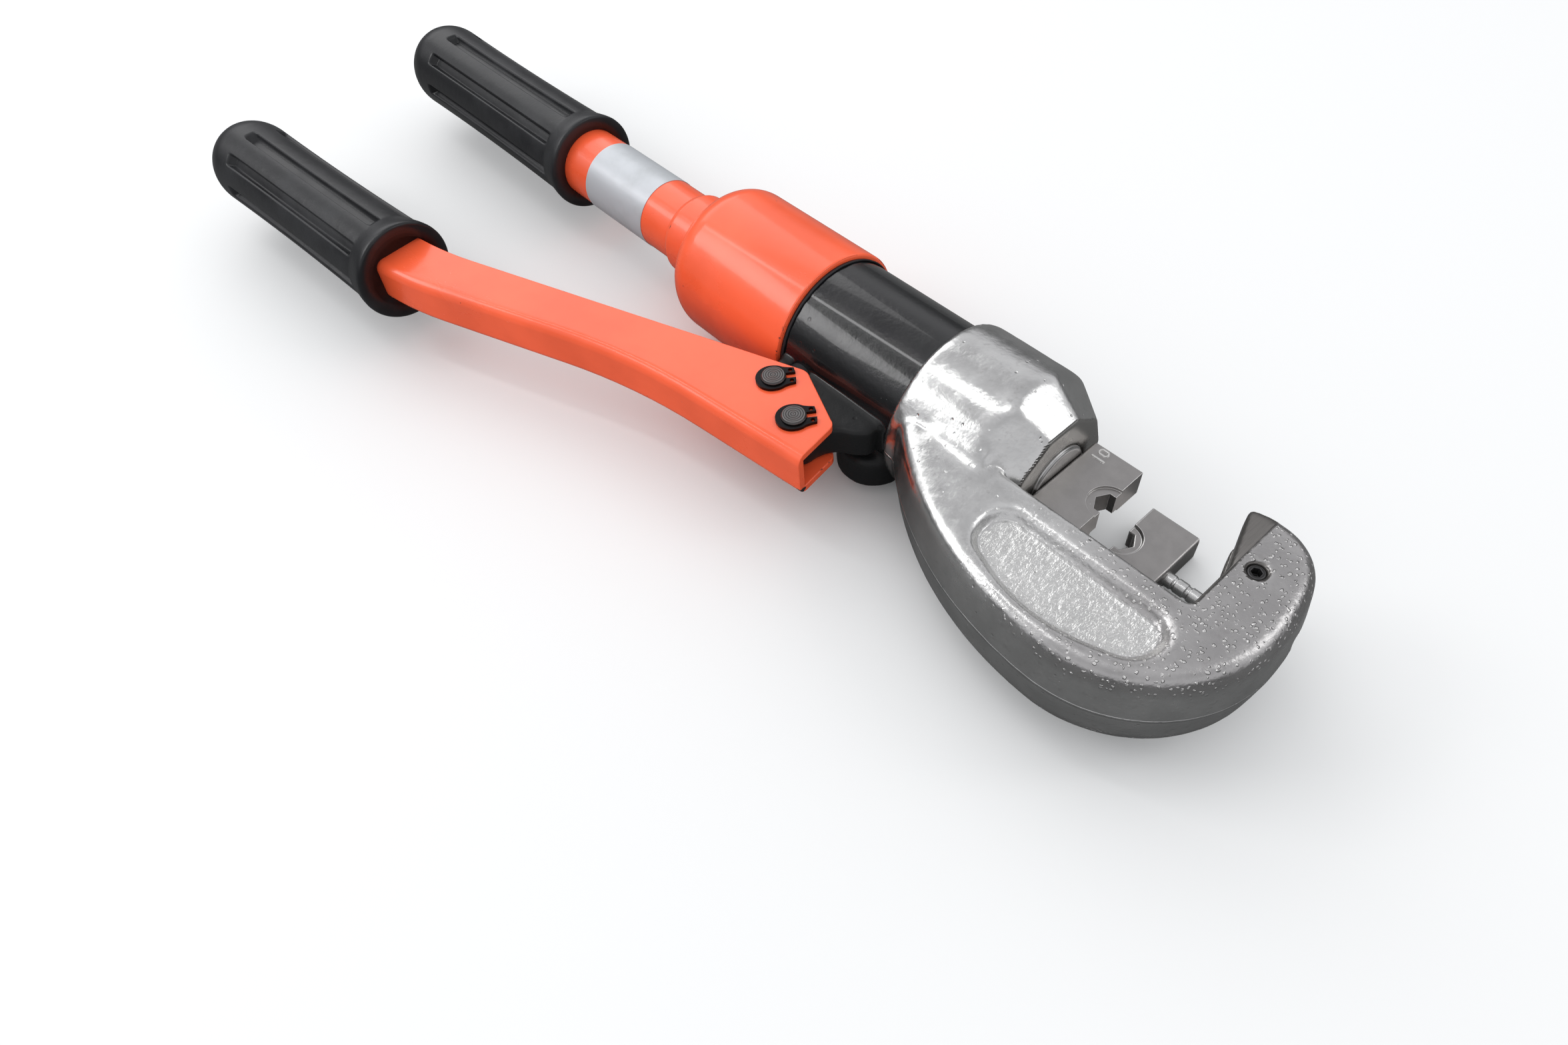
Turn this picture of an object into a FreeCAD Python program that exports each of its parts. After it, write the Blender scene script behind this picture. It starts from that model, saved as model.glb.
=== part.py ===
"""Hydraulic hand crimping tool with a C-shaped head, lying on its side.

Frame: millimetres, +Z up.  The origin is the mouth of the die-stem bore in the
jaw, on the ram's axis.  X runs along the ram towards the jaw, Y towards the open
side of the C, and Z = 0 is the forging's parting plane.
"""
import FreeCAD
import Part
import Sketcher
import os

from FreeCAD import Placement, Rotation, Vector

SIZES = [
    # forged head
    ("rest_z", -28.0, "level of the surface the tool lies on"),
    ("mouth_x", -55.5, "front face of the socket, where the ram comes out"),
    ("collar_x", -98.5, "rear face of the socket"),
    ("collar_r", 28.0, "socket outside"),
    ("taper_len", 13.5, "length of the facets down to the mouth"),
    ("mouth_r", 19.4, "flat-to-centre size of the mouth ring"),
    ("facets", 10.0, "number of facets on the taper"),
    ("web_half", 15.7, "half thickness of the C"),
    ("draft_deg", 8.0, "forging draft on the outside of the C"),
    ("rim_round", 5.0, "rounding of the C's outer edge"),
    ("throat_y", -19.8, "inner edge of the C's spine"),
    ("jaw_tip_x", -7.2, "jaw lip at the tip"),
    ("jaw_tip_y", 17.4, "end of the jaw lip"),
    ("jaw_end_x", 23.0, "outer end of the jaw"),
    ("spine_y", -56.5, "outer edge of the spine"),
    ("ramp_deg", 25.0, "slope of the ground ramp on the jaw's lip"),
    ("seat_half", 5.0, "half height of the milled die seat"),
    ("recess_deep", 3.6, "depth of the kidney recess"),
    ("blend_r", 11.0, "fillet between socket and spine"),
    ("thread_r", 22.45, "socket's thread bore"),
    ("thread_end_x", -70.5, "bottom of the thread bore"),
    ("guide_r", "ram_r + 0.05", "ram guide bore"),
    ("stem_bore_r", "stem_r + 0.1", "die-stem bore in the jaw"),
    ("grub_x", 5.5, "grub screw in the jaw, along X"),
    ("grub_hole_r", "grub_r + 0.05", "tapped hole in the jaw"),
    ("grub_r", 2.5, "grub screw"),
    ("grub_top_z", 14.9, "grub screw's upper end"),
    ("grub_low_z", 5.6, "grub screw's lower end"),
    ("grub_key_r", 1.5, "hex socket, corner radius"),
    ("grub_key_deep", 2.6, "hex socket, depth"),
    ("ball_r", 1.5, "detent ball"),
    ("ball_hole_r", "ball_r + 0.1", "hole the ball moves in"),
    # cylinder with pump block
    ("cyl_r", 24.4, "cylinder outside"),
    ("cyl_thread_r", "thread_r - 0.05", "thread that screws into the head"),
    ("cyl_front_x", "thread_end_x - 0.5", "front end of the cylinder"),
    ("cyl_rear_x", -151.8, "rear end of the full diameter"),
    ("chamber_r", "piston_r + 0.1", "pressure chamber"),
    ("chamber_x", -129.0, "rear wall of the chamber"),
    ("spigot_r", "cyl_r - 1.6", "spigot inside the reservoir shell"),
    ("spigot_x", -163.0, "rear face of the spigot"),
    ("hub_r", 15.5, "bladder hub"),
    ("hub_x", -169.0, "rear face of the hub"),
    ("valve_bore_r", 3.6, "release valve bore"),
    ("valve_x", -151.0, "bottom of the valve bore"),
    ("block_half", 5.5, "half thickness of the pump block"),
    ("block_rear_x", -145.8, "pump block, rear side"),
    ("block_face_y", "0 - cyl_r - 4.1", "face the plunger comes out of"),
    ("ear_r", 8.0, "fulcrum ear"),
    ("ear_bore_r", "pin_r + 0.08", "running bore for the fulcrum pin"),
    ("pump_bore_r", "plunger_r + 0.06", "plunger bore"),
    ("pump_end_y", "block_face_y + 16.5", "end of the plunger bore"),
    ("seal_y", "block_face_y + 5", "plunger seal groove, far side"),
    ("seal_wide", 2.4, "plunger seal groove width"),
    ("seal_groove_r", 6.0, "plunger seal groove"),
    ("boss_x", -111.5, "relief valve boss"),
    ("boss_y", "6.4 - cyl_r", "relief valve boss"),
    ("boss_r", 12.0, "relief valve boss"),
    ("boss_low_z", "1.4 - cyl_r", "underside of the relief valve boss"),
    ("boss_tall", 12.0, "height of the relief valve boss"),
    ("plug_r", 5.0, "relief plug"),
    ("plug_deep", 7.0, "length of the relief plug"),
    ("plug_key_r", 3.0, "relief plug hex socket, corner radius"),
    # ram and dies
    ("ram_r", 11.35, "ram rod"),
    ("ram_face_x", "mouth_x + 1", "front face of the ram at rest"),
    ("piston_front_x", "piston_rear_x + 10.5", "piston's front face at rest"),
    ("piston_rear_x", "chamber_x + 1", "piston's rear face at rest"),
    ("piston_r", 18.0, "piston"),
    ("piston_groove_r", "piston_r - 2.6", "piston seal groove"),
    ("piston_groove_x", "piston_front_x - 3.1", "front side of the groove"),
    ("piston_groove_wide", 3.6, "groove width"),
    ("die_long", 17.0, "die, back to mating face"),
    ("die_half", 15.6, "die, half width"),
    ("die_thick", 8.9, "die thickness"),
    ("die_round", 1.6, "rounding of the die's back corners"),
    ("nest_r", 4.2, "half-hexagon nest, corner radius"),
    ("relief_r", 6.2, "round relief around the nest"),
    ("relief_deep", 0.9, "depth of the round relief"),
    ("stem_r", 2.3, "die stem"),
    ("stem_long", 12.0, "stem outside the die"),
    ("stem_root", 5.0, "stem inside the die"),
    ("loose_x", -35.6, "mating face of the loose die"),
    ("loose_y", 10.6, "centre of the loose die"),
    ("digit_tall", 0.3, "height of the raised size number"),
    # reservoir, tube and grips
    ("shell_x", -147.3, "front rim of the reservoir shell"),
    ("shell_wall", 2.0, "reservoir shell over the cylinder"),
    ("shell_r", "cyl_r + shell_wall", "reservoir shell outside"),
    ("shell_mouth_r", "cyl_r + 0.1", "shell's bore over the cylinder"),
    ("shell_bore_r", "spigot_r + 0.1", "shell's bore over the spigot"),
    ("shell_land_x", -153.0, "step inside the shell"),
    ("shoulder_x", -196.0, "start of the rounded shoulder"),
    ("shoulder_end_x", -207.6, "end of the rounded shoulder"),
    ("neck_r", "tube_r + 1.9", "neck collar"),
    ("neck_low_r", "tube_r + 1.4", "waist between shoulder and collar"),
    ("neck_x", -222.0, "rear end of the neck"),
    ("tube_r", 13.1, "handle tube outside"),
    ("tube_bore_r", 10.6, "handle tube inside"),
    ("tube_plug_r", "tube_bore_r + 0.4", "tube's plug in the neck"),
    ("tube_plug_x", -210.0, "front end of the plug"),
    ("tube_end_x", "grip_x - grip_long + 11", "rear end of the tube"),
    ("label_front_x", -237.0, "label band, front edge"),
    ("label_rear_x", -271.5, "label band, rear edge"),
    ("label_thick", 0.2, "label band thickness"),
    ("grip_x", -285.5, "front face of the rear grip"),
    ("grip_long", 121.5, "length of a grip"),
    ("grip_collar_r", 18.4, "grip collar"),
    ("grip_waist_r", 15.8, "grip behind the collar"),
    ("grip_tail_r", 16.9, "grip before its rounded end"),
    ("grip_bore_r", "tube_r + 0.05", "grip bore"),
    ("flute_front", 24.5, "start of the flutes behind the grip's face"),
    ("flute_tail", 24.0, "end of the flutes before the grip's tail"),
    ("flute_wide", 3.2, "grip flute"),
    ("flute_floor_r", 14.3, "bottom of a flute from the axis"),
    ("spindle_r", 3.5, "release spindle"),
    ("gasket_thick", 1.1, "gasket at the shell's rim"),
    ("bladder_r", "spigot_r - 1", "oil bladder outside"),
    ("bladder_end_x", -195.5, "rear wall of the bladder"),
    ("rubber", 1.6, "bladder wall"),
    # lever and pump
    ("fulcrum_x", -120.8, "fulcrum pin"),
    ("fulcrum_y", "0 - cyl_r - 18", "fulcrum pin"),
    ("crank_x", -137.5, "plunger pin"),
    ("crank_y", "0 - cyl_r - 11.2", "plunger pin"),
    ("lever_half", 8.3, "half height of the lever channel"),
    ("sheet", 2.5, "lever sheet thickness"),
    ("bend_r", 3.5, "outside bend of the channel"),
    ("pin_r", 3.9, "both pins"),
    ("pin_half", 10.5, "half length of both pins"),
    ("pin_groove_r", 3.4, "circlip groove"),
    ("clip_low_z", "lever_half + 0.1", "circlip's inner face"),
    ("clip_thick", 1.0, "circlip thickness"),
    ("clip_r", 5.4, "circlip outside"),
    ("clip_turn", 54.0, "turn of the circlips' openings from X, in degrees"),
    ("clip_gap", 2.2, "gap between the circlip's lugs"),
    ("plunger_r", 4.0, "pump plunger"),
    ("plunger_end", 21.5, "plunger's end from its pin"),
    ("eye_r", 6.4, "plunger eye"),
    ("eye_half", 5.3, "half thickness of the eye"),
    ("eye_slot", 0.75, "half travel of the pin in the eye"),
    ("eye_slot_half", "pin_r + 0.15", "half width of the eye's slot"),
    ("lever_grip_x", "fulcrum_x - 160.2", "front face of the lever grip"),
    ("lever_grip_y", "fulcrum_y - 44.8", "front face of the lever grip"),
    ("lever_slope", 0.0798, "fall of the lever's straight tail"),
    ("lever_end_x", "lever_grip_x - grip_long + 14.5", "rear end of the lever"),
    ("lever_end_y", "lever_grip_y - (lever_grip_x - lever_end_x) * lever_slope", "rear end"),
    ("lever_grip_deg", 4.563, "lever grip's slant"),
]

VALUES = {name: 0.0 for name, value, note in SIZES}
doc = FreeCAD.newDocument("hydraulic_crimping_tool")
NODES = []


def build_sheet():
    """Writes every driving size into the spreadsheet, one named cell each."""
    sheet = doc.addObject("Spreadsheet::Sheet", "Sizes")
    for row, (name, value, note) in enumerate(SIZES, start=1):
        sheet.set("A%d" % row, note)
        sheet.setAlias("B%d" % row, name)
    for row, (name, value, note) in enumerate(SIZES, start=1):
        sheet.set("B%d" % row, "=" + value if isinstance(value, str) else str(value))
    doc.recompute()
    for name in VALUES:
        VALUES[name] = float(sheet.get(name))


def amount(text):
    """Adds up a sum such as 'mouth_x - taper_len' or '- 3.5'."""
    total = 0.0
    sign = 1.0
    for word in str(text).split():
        if word in ("+", "-"):
            sign = 1.0 if word == "+" else -1.0
        else:
            total += sign * (VALUES[word] if word in VALUES else float(word))
            sign = 1.0
    return total


def formula(text):
    """The same sum, written for the expression engine."""
    return " ".join("Sizes." + word if word in VALUES else word for word in str(text).split())


def bind(obj, prop, text):
    """Sets a property to a sum and, where it names a size, keeps it bound."""
    if any(word in VALUES for word in str(text).split()):
        obj.setExpression(prop, formula(text))


def new_body(label, base=(0, 0, 0), turn=None):
    """A PartDesign body with its own label and placement."""
    body = doc.addObject("PartDesign::Body", label)
    body.Label = label
    body.Placement = Placement(Vector(*[amount(word) for word in base]), turn or Rotation())
    for axis, word in zip("xyz", base):
        bind(body, "Placement.Base." + axis, word)
    NODES.append(body)
    return body


def origin_part(body, role):
    """One of the body's origin planes or axes."""
    return [item for item in body.Origin.OriginFeatures if item.Role == role][0]


def new_sketch(body, plane="XY_Plane", lift="0", tilt=0.0):
    """A sketch on an origin plane, lifted along the plane's normal."""
    sketch = body.newObject("Sketcher::SketchObject", body.Label + "_sketch")
    sketch.AttachmentSupport = [(origin_part(body, plane), "")]
    sketch.MapMode = "FlatFace"
    sketch.AttachmentOffset = Placement(Vector(0, 0, amount(lift)), Rotation(Vector(1, 0, 0), tilt))
    bind(sketch, "AttachmentOffset.Base.z", lift)
    return sketch


def pin_point(sketch, index, end, point):
    """Fixes one sketch point to its two sums."""
    for kind, word in (("DistanceX", point[0]), ("DistanceY", point[1])):
        number = sketch.addConstraint(Sketcher.Constraint(kind, -1, 1, index, end, amount(word)))
        bind(sketch, "Constraints[%d]" % number, word)


def arc_through(start, end, radius):
    """Arc from start to end; a positive radius bulges to the right of the way."""
    a = Vector(start[0], start[1], 0)
    b = Vector(end[0], end[1], 0)
    chord = b - a
    side = Vector(chord.y, -chord.x, 0).normalize() * (1 if radius > 0 else -1)
    size = abs(radius)
    drop = max(size * size - chord.Length ** 2 / 4, 0.0) ** 0.5
    middle = (a + b) / 2 + side * (size - drop)
    return Part.Arc(a, middle, b)


def closed_outline(sketch, corners):
    """Draws a closed outline; a corner is (x, y) or (x, y, radius of the arc that leaves it)."""
    count = len(corners)
    flat = [(amount(c[0]), amount(c[1])) for c in corners]
    first = sketch.GeometryCount
    ends = []
    for number, corner in enumerate(corners):
        here = flat[number]
        there = flat[(number + 1) % count]
        if len(corner) == 2:
            sketch.addGeometry(Part.LineSegment(Vector(*here, 0), Vector(*there, 0)))
            ends.append((1, 2))
        else:
            arc = arc_through(here, there, amount(corner[2]))
            index = sketch.addGeometry(arc)
            start = sketch.getPoint(index, 1)
            near = (start - Vector(*here, 0)).Length < 1e-4
            ends.append((1, 2) if near else (2, 1))
    for number, corner in enumerate(corners):
        following = (number + 1) % count
        sketch.addConstraint(Sketcher.Constraint(
            "Coincident", first + number, ends[number][1], first + following, ends[following][0]))
    for number, corner in enumerate(corners):
        pin_point(sketch, first + number, ends[number][0], corner)
        if len(corner) == 3:
            fix_arc(sketch, first + number, corner, flat[number], flat[(number + 1) % count])


def fix_arc(sketch, index, corner, here, there):
    """Fixes an arc by its radius, or a half circle by its centre."""
    size = str(corner[2]).replace("- ", "")
    if abs(Vector(here[0] - there[0], here[1] - there[1], 0).Length - 2 * amount(size)) > 1e-6:
        number = sketch.addConstraint(Sketcher.Constraint("Radius", index, amount(size)))
        bind(sketch, "Constraints[%d]" % number, size)
        return
    level = abs(here[1] - there[1]) < 1e-9
    kind, word = ("DistanceY", corner[1]) if level else ("DistanceX", corner[0])
    number = sketch.addConstraint(Sketcher.Constraint(kind, -1, 1, index, 3, amount(word)))
    bind(sketch, "Constraints[%d]" % number, word)


def add_circle(sketch, centre, radius):
    """A circle with a bound centre and radius."""
    middle = Vector(amount(centre[0]), amount(centre[1]), 0)
    index = sketch.addGeometry(Part.Circle(middle, Vector(0, 0, 1), amount(radius)))
    pin_point(sketch, index, 3, centre)
    number = sketch.addConstraint(Sketcher.Constraint("Radius", index, amount(radius)))
    bind(sketch, "Constraints[%d]" % number, radius)


def revolve(body, corners, cut=False, axis="H_Axis"):
    """Turns an outline about the body's own X (or Y) axis."""
    sketch = new_sketch(body)
    closed_outline(sketch, corners)
    kind = "PartDesign::Groove" if cut else "PartDesign::Revolution"
    feature = body.newObject(kind, body.Label + "_turn")
    feature.Profile = sketch
    feature.ReferenceAxis = (sketch, [axis])
    feature.Angle = 360.0
    doc.recompute()
    return feature


def extrude(body, sketch, length, cut=False, both=False, back=False, taper=0.0):
    """Pads or pockets a sketch; both=True grows it half to each side."""
    kind = "PartDesign::Pocket" if cut else "PartDesign::Pad"
    feature = body.newObject(kind, body.Label + ("_cut" if cut else "_pad"))
    feature.Profile = sketch
    feature.Length = amount(length)
    bind(feature, "Length", length)
    if both:
        feature.SideType = "Symmetric"
    feature.Reversed = back
    if taper:
        feature.TaperAngle = taper
    doc.recompute()
    return feature


def turned(label, corners, base=(0, 0, 0), turn=None):
    """A body made by turning one outline about its own X axis."""
    body = new_body(label, base, turn)
    revolve(body, corners)
    return body


def edges_where(body, test):
    """Names of the tip's edges whose bounding box passes the test."""
    shape = body.Tip.Shape
    return ["Edge%d" % (n + 1) for n, edge in enumerate(shape.Edges) if test(edge)]


def round_edges(body, test, radius, chamfer=False):
    """Rounds or chamfers the chosen edges of the body's tip."""
    names = edges_where(body, test)
    base = body.Tip
    kind = "PartDesign::Chamfer" if chamfer else "PartDesign::Fillet"
    feature = body.newObject(kind, body.Label + "_edges")
    feature.Base = (base, names)
    prop = "Size" if chamfer else "Radius"
    setattr(feature, prop, amount(radius))
    bind(feature, prop, radius)
    doc.recompute()
    return feature


def hexagon(radius, centre=(0.0, 0.0)):
    """Corners of a hexagon as plain numbers."""
    corners = []
    for step in range(6):
        ray = Rotation(Vector(0, 0, 1), 60 * step).multVec(Vector(amount(radius), 0, 0))
        corners.append((round(centre[0] + ray.x, 5), round(centre[1] + ray.y, 5)))
    return corners


ALONG_Z = Rotation(Vector(0, 1, 0), -90)


def is_outer_rim(edge):
    """True for an upper edge on the outside of the C."""
    centre = edge.CenterOfMass
    if edge.BoundBox.ZMin < amount("web_half") - 0.01 or edge.BoundBox.XLength < 0.5:
        return False
    return centre.y < amount("throat_y") - 8 or centre.x > 5 or centre.y > amount("jaw_tip_y")


def head_yoke():
    """The C's forging blank: one drafted half, mirrored about the parting plane."""
    body = new_body("yoke_blank")
    NODES.remove(body)
    outline = new_sketch(body)
    closed_outline(outline, [
        ("collar_x + 3", "throat_y + 4"), ("collar_x + 3", "- 26.5", "111.5"),
        ("- 19.4", "spine_y", "42.4"), ("jaw_end_x", "- 14.1", "71.5"),
        ("jaw_end_x - 3.5", "8", "18.86"), ("0.5", "21"), ("jaw_tip_x - 4", "20.4"),
        ("jaw_tip_x - 4", "throat_y + 4")])
    pad = extrude(body, outline, "web_half", taper=-amount("draft_deg"))
    bind(pad, "TaperAngle", "0 - draft_deg")
    round_edges(body, is_outer_rim, "rim_round")
    throat = new_sketch(body)
    closed_outline(throat, [
        ("collar_x - 5", "throat_y"), ("0", "throat_y"), ("0", "- 4"),
        ("jaw_tip_x", "jaw_tip_y"), ("jaw_tip_x + 0.3", "35"), ("collar_x - 5", "35")])
    extrude(body, throat, "web_half + 2", cut=True, back=True)
    recess = new_sketch(body, lift="web_half - recess_deep")
    closed_outline(recess, [
        ("- 51.9", "- 35.6", "7"), ("- 45.6", "- 43.4", "47.7"), ("- 7", "- 43.6", "9"),
        ("0.9", "- 34.7", "5.4"), ("- 4.9", "- 28.7"), ("- 48.2", "- 28.7", "6")])
    extrude(body, recess, "recess_deep", cut=True, back=True, taper=30.0)
    ramp = new_sketch(body, "XZ_Plane", "- throat_y - 14.5")
    closed_outline(ramp, [
        ("0.7", "web_half"), ("0.7", "web_half + 3"), ("- 12", "web_half + 3"),
        ("- 12", "web_half - 5.92")])
    extrude(body, ramp, "30", cut=True)
    whole = body.newObject("PartDesign::Mirrored", "yoke_halves")
    whole.TransformMode = "Whole shape"
    whole.MirrorPlane = (origin_part(body, "XY_Plane"), [""])
    body.Tip = whole
    doc.recompute()
    return body


def head():
    """The forged head: faceted socket, C, blends and every machined surface."""
    blank = head_yoke()
    body = new_body("c_head")
    revolve(body, [
        ("collar_x", "0"), ("collar_x", "collar_r - 0.8"), ("collar_x + 0.8", "collar_r"),
        ("mouth_x", "collar_r"), ("mouth_x", "0")])
    facet = new_sketch(body, "XZ_Plane")
    closed_outline(facet, [
        ("mouth_x - taper_len", "collar_r"), ("mouth_x", "mouth_r"), ("mouth_x + 2", "mouth_r"),
        ("mouth_x + 2", "collar_r + 3"), ("mouth_x - taper_len", "collar_r + 3")])
    first = extrude(body, facet, "80", cut=True, both=True)
    ring = body.newObject("PartDesign::PolarPattern", "facet_ring")
    ring.Originals = [first]
    ring.Axis = (origin_part(body, "X_Axis"), [""])
    ring.Angle = 360.0
    ring.Occurrences = int(amount("facets"))
    bind(ring, "Occurrences", "facets")
    body.Tip = ring
    doc.recompute()
    union = body.newObject("PartDesign::Boolean", "head_union")
    union.Type = "Fuse"
    union.addObjects([blank])
    body.Tip = union
    doc.recompute()
    for side in (False, True):
        blend = new_sketch(body, "YZ_Plane", "mouth_x - taper_len - 14")
        top = amount("web_half")
        reach = amount("blend_r")
        centre_y = -((amount("collar_r") + reach) ** 2 - (top + reach) ** 2) ** 0.5
        share = amount("collar_r") / (amount("collar_r") + reach)
        sign = -1 if side else 1
        points = [(centre_y, sign * top, "blend_r" if sign > 0 else "- blend_r"),
                  (centre_y * share, sign * (top + reach) * share),
                  (centre_y * share + 2, sign * (top - 0.6)), (centre_y, sign * (top - 0.6))]
        closed_outline(blend, points)
        extrude(body, blend, "18")
    revolve(body, [
        ("collar_x - 1", "0"), ("collar_x - 1", "thread_r"), ("thread_end_x", "thread_r"),
        ("thread_end_x", "guide_r"), ("mouth_x + 1", "guide_r"), ("mouth_x + 1", "0")], cut=True)
    seat = new_sketch(body)
    closed_outline(seat, [
        ("- 14", "throat_y"), ("0", "throat_y"), ("0", "40"), ("- 14", "40")])
    extrude(body, seat, "seat_half + seat_half", cut=True, both=True)
    revolve(body, [
        ("- 3", "0"), ("- 3", "stem_bore_r"), ("40", "stem_bore_r"), ("40", "0")], cut=True)
    for level, radius in (("grub_low_z", "grub_hole_r"), ("0", "ball_hole_r")):
        hole = new_sketch(body, lift=level)
        add_circle(hole, ("grub_x", "0"), radius)
        extrude(body, hole, "30", cut=True, back=True)
    return body


def grub_and_ball():
    """Black grub screw in the jaw and the ball it holds against the stem."""
    length = "grub_top_z - grub_low_z"
    screw = turned("jaw_grub_screw", [
        ("0", "0"), (amount(length), "0"), (amount(length), "grub_r - 0.4"),
        (amount(length) - 0.4, "grub_r"), ("0.6", "grub_r"), ("0", "grub_r - 0.6")],
        ("grub_x", "0", "grub_low_z"), ALONG_Z)
    socket = new_sketch(screw, "YZ_Plane")
    socket.AttachmentOffset = Placement(Vector(0, 0, amount(length)), Rotation())
    closed_outline(socket, hexagon("grub_key_r"))
    extrude(screw, socket, "grub_key_deep", cut=True)
    ball = new_body("jaw_detent_ball", ("grub_x", "0", "grub_low_z - ball_r"))
    revolve(ball, [("- ball_r", "0"), ("ball_r", "0", "ball_r")])
    return screw, ball


def cylinder():
    """Cylinder, pump block and relief boss: one black casting."""
    body = new_body("cylinder")
    revolve(body, [
        ("cyl_front_x", "0"), ("cyl_front_x", "cyl_thread_r"), ("collar_x - 0.1", "cyl_thread_r"),
        ("collar_x - 0.1", "cyl_r"), ("cyl_rear_x", "cyl_r"), ("cyl_rear_x", "spigot_r"),
        ("spigot_x", "spigot_r"), ("spigot_x", "hub_r"), ("hub_x", "hub_r"), ("hub_x", "0")][::-1])
    block = new_sketch(body)
    closed_outline(block, [
        ("block_rear_x", "- 18"), ("block_rear_x", "block_face_y"),
        ("crank_x + 6.8", "block_face_y"), ("fulcrum_x - ear_r", "fulcrum_y + 7"),
        ("fulcrum_x - ear_r", "fulcrum_y", "ear_r"), ("fulcrum_x + ear_r", "fulcrum_y", "- 9"),
        ("fulcrum_x + 14.5", "fulcrum_y + 9.6"), ("fulcrum_x + 18.5", "fulcrum_y + 13.5"),
        ("fulcrum_x + 18.5", "- 18")])
    extrude(body, block, "block_half + block_half", both=True)
    round_edges(body, is_block_rim, "0.8", chamfer=True)
    boss = new_sketch(body, lift="boss_low_z")
    add_circle(boss, ("boss_x", "boss_y"), "boss_r")
    extrude(body, boss, "boss_tall")
    round_edges(body, is_boss_top, "2", chamfer=True)
    revolve(body, [
        ("cyl_front_x + 1", "0"), ("cyl_front_x + 1", "chamber_r"),
        ("chamber_x + 1.5", "chamber_r"), ("chamber_x", "chamber_r - 1.5"), ("chamber_x", "0")],
        cut=True)
    revolve(body, [
        ("hub_x - 1", "0"), ("hub_x - 1", "valve_bore_r"), ("valve_x", "valve_bore_r"),
        ("valve_x + 2.5", "0")], cut=True)
    for radius, low, high in (("pump_bore_r", "pump_end_y", "block_face_y"),
                              ("seal_groove_r", "seal_y", "seal_y - seal_wide")):
        bore = new_sketch(body, "XZ_Plane", "0 - " + low)
        add_circle(bore, ("crank_x", "0"), radius)
        length = amount(low) - amount(high)
        extrude(body, bore, length + (1 if radius == "pump_bore_r" else 0), cut=True, back=True)
    pivot = new_sketch(body)
    add_circle(pivot, ("fulcrum_x", "fulcrum_y"), "ear_bore_r")
    extrude(body, pivot, "30", cut=True, both=True)
    plug = new_sketch(body, lift="boss_low_z")
    add_circle(plug, ("boss_x", "boss_y"), "plug_r + 0.03")
    extrude(body, plug, "plug_deep", cut=True, back=True)
    return body


def is_block_rim(edge):
    """True for the upper and lower edges round the pump block's ear."""
    box = edge.BoundBox
    level = abs(abs(box.ZMin) - amount("block_half")) < 0.01 and box.ZLength < 0.01
    return level and box.YMin < amount("fulcrum_y") - 6


def is_boss_top(edge):
    """True for the relief boss's upper edge where it stands clear of the cylinder."""
    box = edge.BoundBox
    top = amount("boss_low_z") + amount("boss_tall")
    return box.ZLength < 0.01 and abs(box.ZMin - top) < 0.01


def relief_plug():
    """Hex-socket plug under the relief boss."""
    body = turned("relief_plug", [
        ("0", "0"), ("plug_deep", "0"), ("plug_deep", "plug_r"), ("0.6", "plug_r"),
        ("0", "plug_r - 0.6")][::-1], ("boss_x", "boss_y", "boss_low_z"), ALONG_Z)
    socket = new_sketch(body, "YZ_Plane")
    closed_outline(socket, hexagon("plug_key_r"))
    extrude(body, socket, "3", cut=True, back=True)
    return body


def ram_parts():
    """Ram with its piston seal."""
    ram = turned("ram", [
        ("piston_rear_x", "0"), ("ram_face_x", "0"), ("ram_face_x", "ram_r - 0.8"),
        ("ram_face_x - 0.8", "ram_r"), ("piston_front_x", "ram_r"), ("piston_front_x", "piston_r"),
        ("piston_groove_x", "piston_r"), ("piston_groove_x", "piston_groove_r"),
        ("piston_groove_x - piston_groove_wide", "piston_groove_r"),
        ("piston_groove_x - piston_groove_wide", "piston_r"), ("piston_rear_x + 1", "piston_r"),
        ("piston_rear_x", "piston_r - 1")])
    revolve(ram, [
        ("ram_face_x + 1", "0"), ("ram_face_x + 1", "stem_r"), ("ram_face_x - stem_long - 1", "stem_r"),
        ("ram_face_x - stem_long - 2", "0")], cut=True)
    seal = turned("piston_seal", [
        ("piston_groove_x", "piston_groove_r"), ("piston_groove_x", "piston_r"),
        ("piston_groove_x - 0.8", "chamber_r"),
        ("piston_groove_x - piston_groove_wide + 0.8", "chamber_r"),
        ("piston_groove_x - piston_groove_wide", "piston_r"),
        ("piston_groove_x - piston_groove_wide", "piston_groove_r")])
    return ram, seal


def die(label, base, turn):
    """A crimping die: flat block, half-hexagon nest, round relief on both faces."""
    body = new_body(label, base, turn)
    plate = new_sketch(body)
    closed_outline(plate, [
        ("0", "- die_half"), ("die_long", "- die_half"), ("die_long", "die_half"),
        ("0", "die_half")])
    extrude(body, plate, "die_thick", both=True)
    round_edges(body, lambda edge: edge.BoundBox.XMax < amount("die_long") - 0.01, "1.1")
    for side in (0, 1):
        rim = new_sketch(body)
        height = amount("die_thick") / 2 - amount("relief_deep")
        flip = Rotation(Vector(1, 0, 0), 180 * side)
        rim.AttachmentOffset = Placement(Vector(0, 0, height * (1 - 2 * side)), flip)
        add_circle(rim, ("die_long", "0"), "relief_r")
        extrude(body, rim, "relief_deep + 1", cut=True, back=True)
    nest = new_sketch(body)
    closed_outline(nest, hexagon("nest_r", (amount("die_long"), 0.0)))
    extrude(body, nest, "30", cut=True, both=True)
    hole = new_sketch(body, "YZ_Plane")
    add_circle(hole, ("0", "0"), "stem_r")
    extrude(body, hole, "stem_root", cut=True, back=True)
    return body


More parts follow.
